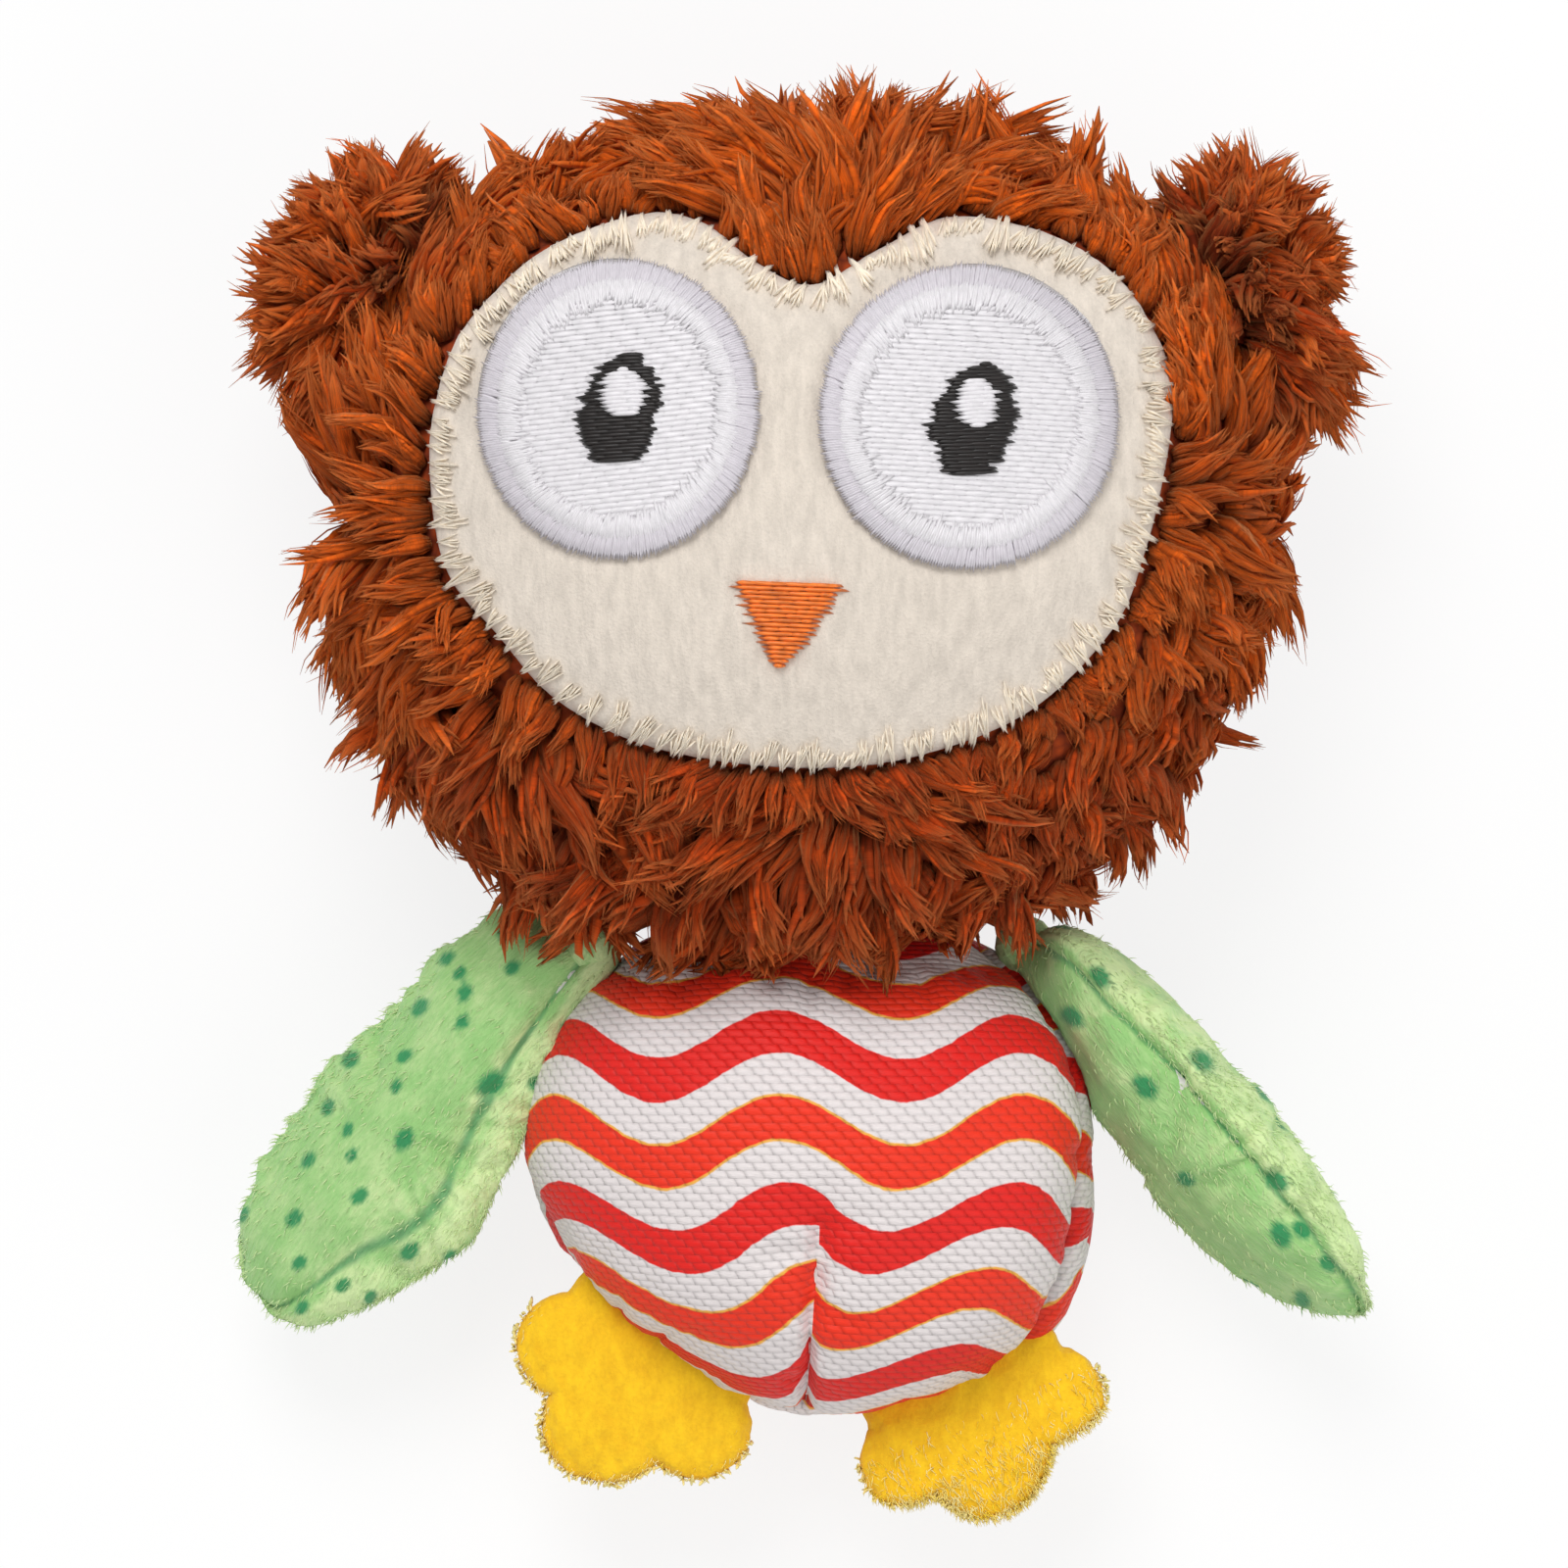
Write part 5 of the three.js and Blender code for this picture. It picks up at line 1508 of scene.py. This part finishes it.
# Spots on the wings' upper sides: places in plan from the middle of the neck, and sizes
LEFT_SPOTS = [(-22.5, -2.1, 1.1), (-27.1, -4.2, 0.9), (-26.1, -5.3, 0.8), (-22.1, -4.9, 0.9),
    (-25.7, -6.8, 1), (-29.1, -7.9, 1), (-25.9, -9.0, 0.9), (-34.4, -11.9, 1), (-30.3, -11.6, 0.9),
    (-30.9, -13.9, 0.8), (-23.7, -13.7, 1.6), (-20.3, -13.6, 1), (-18.0, -9.4, 0.9),
    (-36.1, -15.5, 0.9), (-34.6, -17.2, 0.8), (-30.3, -17.9, 1.2), (-37.6, -19.5, 0.9),
    (-34.3, -19.1, 0.8), (-33.7, -22.2, 1), (-38.7, -23.9, 1), (-42.6, -23.7, 0.8),
    (-38.3, -27.3, 0.9), (-29.9, -26.4, 1.1), (-26.8, -27.0, 1), (-35.0, -29.0, 0.9),
    (-38.1, -30.7, 0.8), (-32.9, -29.9, 0.8)]
RIGHT_SPOTS = [(22.4, -5.6, 1.2), (20.3, -8.6, 1.3), (30.1, -11.9, 1.3), (25.8, -13.9, 1.4),
    (28.9, -20.9, 1), (35.7, -21.0, 1.3), (36.1, -25.1, 1.4), (37.7, -24.7, 1.1), (39.7, -27.3, 1),
    (37.8, -30.1, 1)]


def wing_cleared(side, points):
    """The wing's points, moved out of the body over all that its joints allow."""
    root = joint_place(f"{side}_wing_lift")
    sweep, lift = (JOINTS[f"{side}_wing_{kind}"] for kind in ("sweep", "lift"))
    for sweep_turn in (0, *sweep["range_deg"]):
        for lift_turn in (0, *lift["range_deg"]):
            turn = about(sweep["axis"], sweep_turn) @ about(lift["axis"], lift_turn)
            moved = (points - root) @ turn.T + root
            points = (BODY.cleared(moved, 0.35) - root) @ turn + root
    return points


def covering(side, whole, points, gap=0.3):
    """The wing's points, kept outside its filling where the body has moved them."""
    filling = frame["nodes"][f"{side}_wing_stuffing"].data
    tree = BVHTree.FromPolygons([v.co * 1000 for v in filling.vertices],
        [tuple(p.vertices) for p in filling.polygons])
    points = points.copy()
    for number in np.flatnonzero(np.linalg.norm(points - whole, axis=1) > 0.05):
        point = points[number]
        place, normal, _, _ = tree.find_nearest(point)
        if (point - place) @ normal < gap:
            points[number] = place + normal * gap
    return points


def fibre_part():
    """One fibre, 1 long, that bends over."""
    t = np.linspace(0, 1, 4)
    return tube(np.column_stack([0.35 * t**2, 0 * t, t]), [0.05, 0.05, 0.035, 0.008], 3)


def nap(name, points, normals, ahead, length_mm, shades, count, material, body, slot, random,
        settle=None, up=0.75):
    """Loose fibres of a velour's nap, standing on points and leaning ahead."""
    chosen = random.choice(len(points), count, replace=False)
    grow = unit(normals[chosen] * up + np.asarray(ahead) * 0.6
        + random.normal(size=(count, 3)) * 0.35)
    turns = lock_turns(grow, np.asarray(ahead) + random.normal(size=(count, 3)) * 0.4)
    size = length_mm * random.uniform(0.55, 1.2, count)
    sizes = np.column_stack([np.ones(count), np.ones(count), size])
    places = points[chosen], turns, sizes, shades[chosen]
    return scattered_piece(name, places, [fibre_part()], material, body, settle, seed=1)


class OWL_OT_wings(bpy.types.Operator):
    """Make the two stuffed wings of printed velour"""

    bl_idname = "owl.wings"
    bl_label = "Wings"

    def execute(self, context):
        limbs, seed = context.scene.owl_limbs, context.scene.owl_stage.seed
        velour = spotted_velour(limbs)
        fibre = nap_fibre("green_velour_fibre", limbs.pale_green, limbs.spot)
        sets = zip(SIDES, (LEFT_SPOTS, RIGHT_SPOTS), (2.9, 1.5))
        for number, (side, spots, shift) in enumerate(sets):
            wing, random = WINGS[side], np.random.default_rng(seed + 60 + number)
            points, _, angles, sides, faces = wing.skin(100)
            nap_map = points[:, :2].copy()
            # the seam lies in front of one edge, so the back panel shows beyond it
            seam = shift * smooth(-2, 4.5, points[:, 1])
            from_seam = np.abs(points[:, 2] - seam)
            draw = 0.75 * np.exp(-((from_seam / 0.5) ** 1.3))
            pucker = np.sin(angles * 26 + 2 * np.sin(angles * 5)) * np.exp(-from_seam / 1.6)
            points[:, 0] += 1.2 * smooth(0, 18, points[:, 0])
            placed = wing.placed(points)
            move = (-draw + 0.20 * pucker + 0.30 * ripple(placed, 9, seed + 61)
                + 0.10 * ripple(placed, 3, seed + 62))
            normals = wing.normals(placed)
            at_rim = lambda p: (np.abs(p[:, 2]) < 0.3) * 1.0
            placed = placed + pressed_out(wing, points, 36, at_rim, 0.7)
            whole = placed + normals * move[:, None]
            placed = covering(side, whole, wing_cleared(side, whole))
            printed = np.zeros(len(placed))
            shown = normals[:, 2] > 0.12
            axis = wing.matrix[:2, 0] / np.linalg.norm(wing.matrix[:2, 0])
            for x, y, size in spots:
                away = placed[:, :2] - NECK[:2] - (x, y)
                along, across = away @ axis, away @ np.array([-axis[1], axis[0]])
                turn = random.uniform(-0.4, 0.4)
                along, across = along + turn * across, across - turn * along
                d = (np.abs(along) / (0.88 * size)) ** 2 + (np.abs(across) / (0.62 * size)) ** 2
                printed = np.maximum(printed, np.where(shown, np.exp(-d * 0.8), 0))
            for _ in range(34):
                centre = np.array([random.uniform(-20, 16), random.uniform(-7, 7)])
                size = random.uniform(0.8, 1.4)
                away = (nap_map - centre) / [0.85 * size, 0.6 * size]
                hidden_side = sides == random.choice([-1, 1])
                printed = np.maximum(printed, np.where(~shown & hidden_side,
                    np.exp(-(away**2).sum(1) * 0.8), 0))
            # paler along the seam and on the back panel beyond it: painted sheen at the velour's
            # rolled edge
            beyond = smooth(0.4, 1.2, seam - points[:, 2]) * smooth(0, 3, points[:, 1])
            pale = (0.5 * np.exp(-from_seam / 1.3) + 0.62 * beyond
                + 0.12 * ripple(placed, 7, seed + 63))
            # the seam value is painted shade in the seam's groove
            made = make_piece(f"{side}_wing_velour", placed, faces, velour, f"{side}_wing",
                maps={"nap": nap_map}, values={"print": printed,
                "pale": np.clip(pale, 0, 1), "seam": np.exp(-((from_seam / 0.32) ** 2))})
            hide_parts(f"{side}_wing_front", f"{side}_wing_back", f"{side}_wing_seam")
            nap(f"{side}_wing_nap", placed, normals, wing.matrix[:, 0], 0.55, printed * 0.8, 3000,
                fibre, f"{side}_wing", "green_velour", random,
                lambda p, side=side: wing_cleared(side, p))
        return {"FINISHED"}


def foot_hold(side, points):
    """How far each point of a foot follows its fold: 0 at the sewn root and 1 beyond it."""
    ahead = (points - joint_place(f"{side}_foot_fold")) @ FEET[side].matrix[:, 1]
    return np.clip((ahead - FOOT_START) / (FOOT_END - FOOT_START), 0, 1)


def foot_fitted(side, points):
    """The foot's own points, with one lobe drawn in, and the right foot shorter."""
    points[:, 0] -= 1.2 * smooth(2, 9, points[:, 0])
    if side == "right":
        points[:, 1] -= 1.7 * smooth(0, 6, points[:, 1])
    return points


class OWL_OT_feet(bpy.types.Operator):
    """Make the two feet of yellow velour, with their stitched edges"""

    bl_idname = "owl.feet"
    bl_label = "Feet"

    def execute(self, context):
        limbs, seed = context.scene.owl_limbs, context.scene.owl_stage.seed
        yellow = velour_cloth("yellow_velour", limbs.yellow,
            [min(1, c * 1.12) for c in limbs.yellow], fine=0.3, streak=(1.3, 0.6, 1.3))
        # the edge thread and the nap fibres are paler than the yellow cloth: painted light on these
        # thin threads
        thread = rayon_thread("yellow_edge_thread", limbs.edge_yellow, gloss=0.8, spread=0.08)
        fibre = nap_fibre("yellow_velour_fibre", limbs.edge_yellow,
            [min(1, c * 1.3) for c in limbs.yellow])
        for number, side in enumerate(SIDES):
            foot, random = FEET[side], np.random.default_rng(seed + 70 + number)
            points, shares, _, _, faces = foot.skin(80)
            points = foot_fitted(side, points)
            placed = foot.placed(points)
            normals = foot.normals(placed)
            move = 0.16 * ripple(placed, 5, seed + 71) + 0.08 * ripple(placed, 1.2, seed + 72, 20)
            move -= 0.25 * np.exp(-np.abs(points[:, 2]) / 0.25)
            placed = placed + normals * move[:, None]
            made = make_piece(f"{side}_foot_velour", placed, faces, yellow, None)
            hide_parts(f"{side}_foot_top", f"{side}_foot_sole")
            root, ahead = joint_place(f"{side}_foot_fold"), foot.matrix[:, 1]
            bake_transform(made)

            # a small overlock: pairs of strands wrapped over the edge
            count = 76
            angle = np.repeat(2 * math.pi * np.arange(count) / count, 3)
            angle = angle + random.normal(size=count * 3) * 0.012
            edge = foot.reach(angle) + 0.08 + random.normal(size=len(angle)) * 0.05
            rim = np.stack([np.cos(angle) * edge, np.sin(angle) * edge, 0 * angle], 1)
            rim = foot_fitted(side, rim)
            jog = random.normal(size=rim.shape) * [0.14, 0.14, 0.08] + [0, 0, 0.7]
            starts, ends = foot.placed(rim - jog), foot.placed(rim + jog)
            clear = (BODY.level(starts, 0.6) > 0) & (BODY.level(ends, 0.6) > 0)
            free = (foot_hold(side, starts) >= 1) & clear
            starts, ends, angle = starts[free], ends[free], angle[free]
            outwards = np.stack([np.cos(angle), np.sin(angle), 0 * angle], 1) @ foot.matrix.T
            shade = tones(random, len(angle), 0.2)
            stitched = scattered_piece(f"{side}_foot_edge_stitches",
                stitches(starts, ends, outwards, 0.15, 0.3, shade), [thread_part()], thread,
                f"{side}_foot", seed=seed)
            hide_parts(f"{side}_foot_edge")
            # the left foot's nap stands up only along its edge, the right foot's all over
            free = (foot_hold(side, placed) >= 1) & (BODY.level(placed, 0.9) > 0)
            free &= (shares > 0.88) | (side == "right")
            count, long = {"left": (500, 0.35), "right": (2600, 0.7)}[side]
            streaks = 0.5 + 0.7 * ripple(placed[free], 1.6, seed + 73, 16)
            nap(f"{side}_foot_nap", placed[free], normals[free],
                ahead * (1 if side == "left" else 0.9), long, np.clip(streaks, 0, 1), count, fibre,
                f"{side}_foot", "yellow_velour", random, up=0.15)
        return {"FINISHED"}


class OWL_OT_inside(bpy.types.Operator):
    """Give the filling, the catnip pouch and the gathered roots their materials"""

    bl_idname = "owl.inside"
    bl_label = "Inside"

    def execute(self, context):
        scene = context.scene
        fibre = stuffing("polyester_fibre_fill", "#f2f0ec", 2.5)
        finishes = {"head_stuffing": fibre, "body_stuffing_front": fibre,
            "body_stuffing_back": fibre, "left_wing_stuffing": fibre, "right_wing_stuffing": fibre,
            "catnip_pouch": stuffing("cotton_muslin", "#efe7d6", 0.8),
            "dried_catnip": stuffing("dried_catnip_leaf", "#77804a", 1.4),
            "neck_gather": knitted_backing(scene.owl_fur)}
        green = scene.owl_limbs
        root = velour_cloth("green_velour_root", green.green, green.pale_green)
        finishes["left_wing_root"] = finishes["right_wing_root"] = root
        for node, material in finishes.items():
            mesh = frame["nodes"][node].data
            mesh.materials.clear()
            mesh.materials.append(material)
        return {"FINISHED"}


class OWL_OT_stage(bpy.types.Operator):
    """Make the floor, the lights and the camera"""

    bl_idname = "owl.stage"
    bl_label = "Stage"

    def execute(self, context):
        scene, stage = context.scene, context.scene.owl_stage
        half = 3.0
        mesh = bpy.data.meshes.new("floor")
        mesh.from_pydata([(-half, -half, 0), (half, -half, 0), (half, half, 0), (-half, half, 0)],
            [], [(0, 1, 2, 3)])
        # white paper: as seen by the camera it is mostly white, and keeps a trace of shadow
        material, tree = fresh("white_paper_floor")
        seen = add(tree, "LightPath")
        direct = maths(tree, "MAXIMUM", seen.outputs["Is Camera Ray"],
            seen.outputs["Is Glossy Ray"])
        paper = add(tree, "BsdfDiffuse", {"Color": srgb("#f7f7f7")})
        glow = add(tree, "Emission", {"Color": (1, 1, 1), "Strength": 1.0})
        amount = maths(tree, "MULTIPLY", direct, 0.82)
        mixed = add(tree, "MixShader", {0: amount, 1: paper, 2: glow})
        add(tree, "OutputMaterial", {0: mixed})
        mesh.materials.append(material)
        floor = bpy.data.objects.new("floor", mesh)
        scene.collection.objects.link(floor)

        world = bpy.data.worlds.new("studio")
        world.use_nodes = True
        tree = world.node_tree
        tree.nodes.clear()
        seen = add(tree, "LightPath")
        direct = maths(tree, "MAXIMUM", seen.outputs["Is Camera Ray"],
            seen.outputs["Is Transmission Ray"])
        strength = remap(tree, direct, 0.0, 1.0, stage.sky, 1.0)
        glow = add(tree, "Background", {"Color": (1, 1, 1), "Strength": strength})
        add(tree, "OutputWorld", {0: glow})
        scene.world = world

        for name, place, size, amount in (
            ("key_light", (-0.25, 0.95, 1.35), 0.9, stage.key),
            ("fill_light", (0.9, -0.7, 1.2), 1.3, stage.fill),
        ):
            lamp = bpy.data.lights.new(name, "AREA")
            lamp.shape, lamp.size = "DISK", size
            distance = math.sqrt(sum(c * c for c in place))
            lamp.energy = math.pi**2 * distance**2 * amount
            placed = bpy.data.objects.new(name, lamp)
            placed.location = place
            placed.rotation_euler = (-placed.location).to_track_quat("-Z", "Y").to_euler()
            placed.visible_camera = False
            scene.collection.objects.link(placed)

        lens = bpy.data.cameras.new("camera")
        lens.sensor_width, lens.lens = 36.0, 752.0
        lens.clip_start, lens.clip_end = 0.1, 20.0
        camera = bpy.data.objects.new("camera", lens)
        camera.location = (NECK[0] / 1000 - 0.001519, NECK[1] / 1000 + 0.009037, 2.5)
        scene.collection.objects.link(camera)
        scene.camera = camera
        scene.view_settings.view_transform = "Standard"
        return {"FINISHED"}


OPERATORS = (OWL_OT_stage, OWL_OT_body, OWL_OT_wings, OWL_OT_feet, OWL_OT_face_patch,
    OWL_OT_face_stitches, OWL_OT_eyes, OWL_OT_beak, OWL_OT_ears, OWL_OT_head_fur, OWL_OT_inside)
SETTINGS = {"owl_fur": FurSettings, "owl_face": FaceSettings, "owl_body": BodySettings,
    "owl_limbs": LimbSettings, "owl_stage": StageSettings}


class OWL_PT_toy(bpy.types.Panel):
    """Lists the toy's pieces and their settings"""

    bl_idname = "OWL_PT_toy"
    bl_label = "Owl toy"
    bl_space_type = "VIEW_3D"
    bl_region_type = "UI"
    bl_category = "Owl toy"

    def draw(self, context):
        layout = self.layout
        for operator in OPERATORS:
            layout.operator(operator.bl_idname)
        for name in SETTINGS:
            group = getattr(context.scene, name)
            box = layout.box()
            for key in group.bl_rna.properties.keys():
                if key not in ("rna_type", "name"):
                    box.prop(group, key)


def register():
    for cls in (*SETTINGS.values(), *OPERATORS, OWL_PT_toy):
        bpy.utils.register_class(cls)
    for name, cls in SETTINGS.items():
        setattr(bpy.types.Scene, name, PointerProperty(type=cls))


def unregister():
    for name in SETTINGS:
        delattr(bpy.types.Scene, name)
    for cls in reversed((*SETTINGS.values(), *OPERATORS, OWL_PT_toy)):
        bpy.utils.unregister_class(cls)


def main():
    register()
    for operator in OPERATORS:
        space, name = operator.bl_idname.split(".")
        getattr(getattr(bpy.ops, space), name)()


if __name__ == "__main__":
    main()
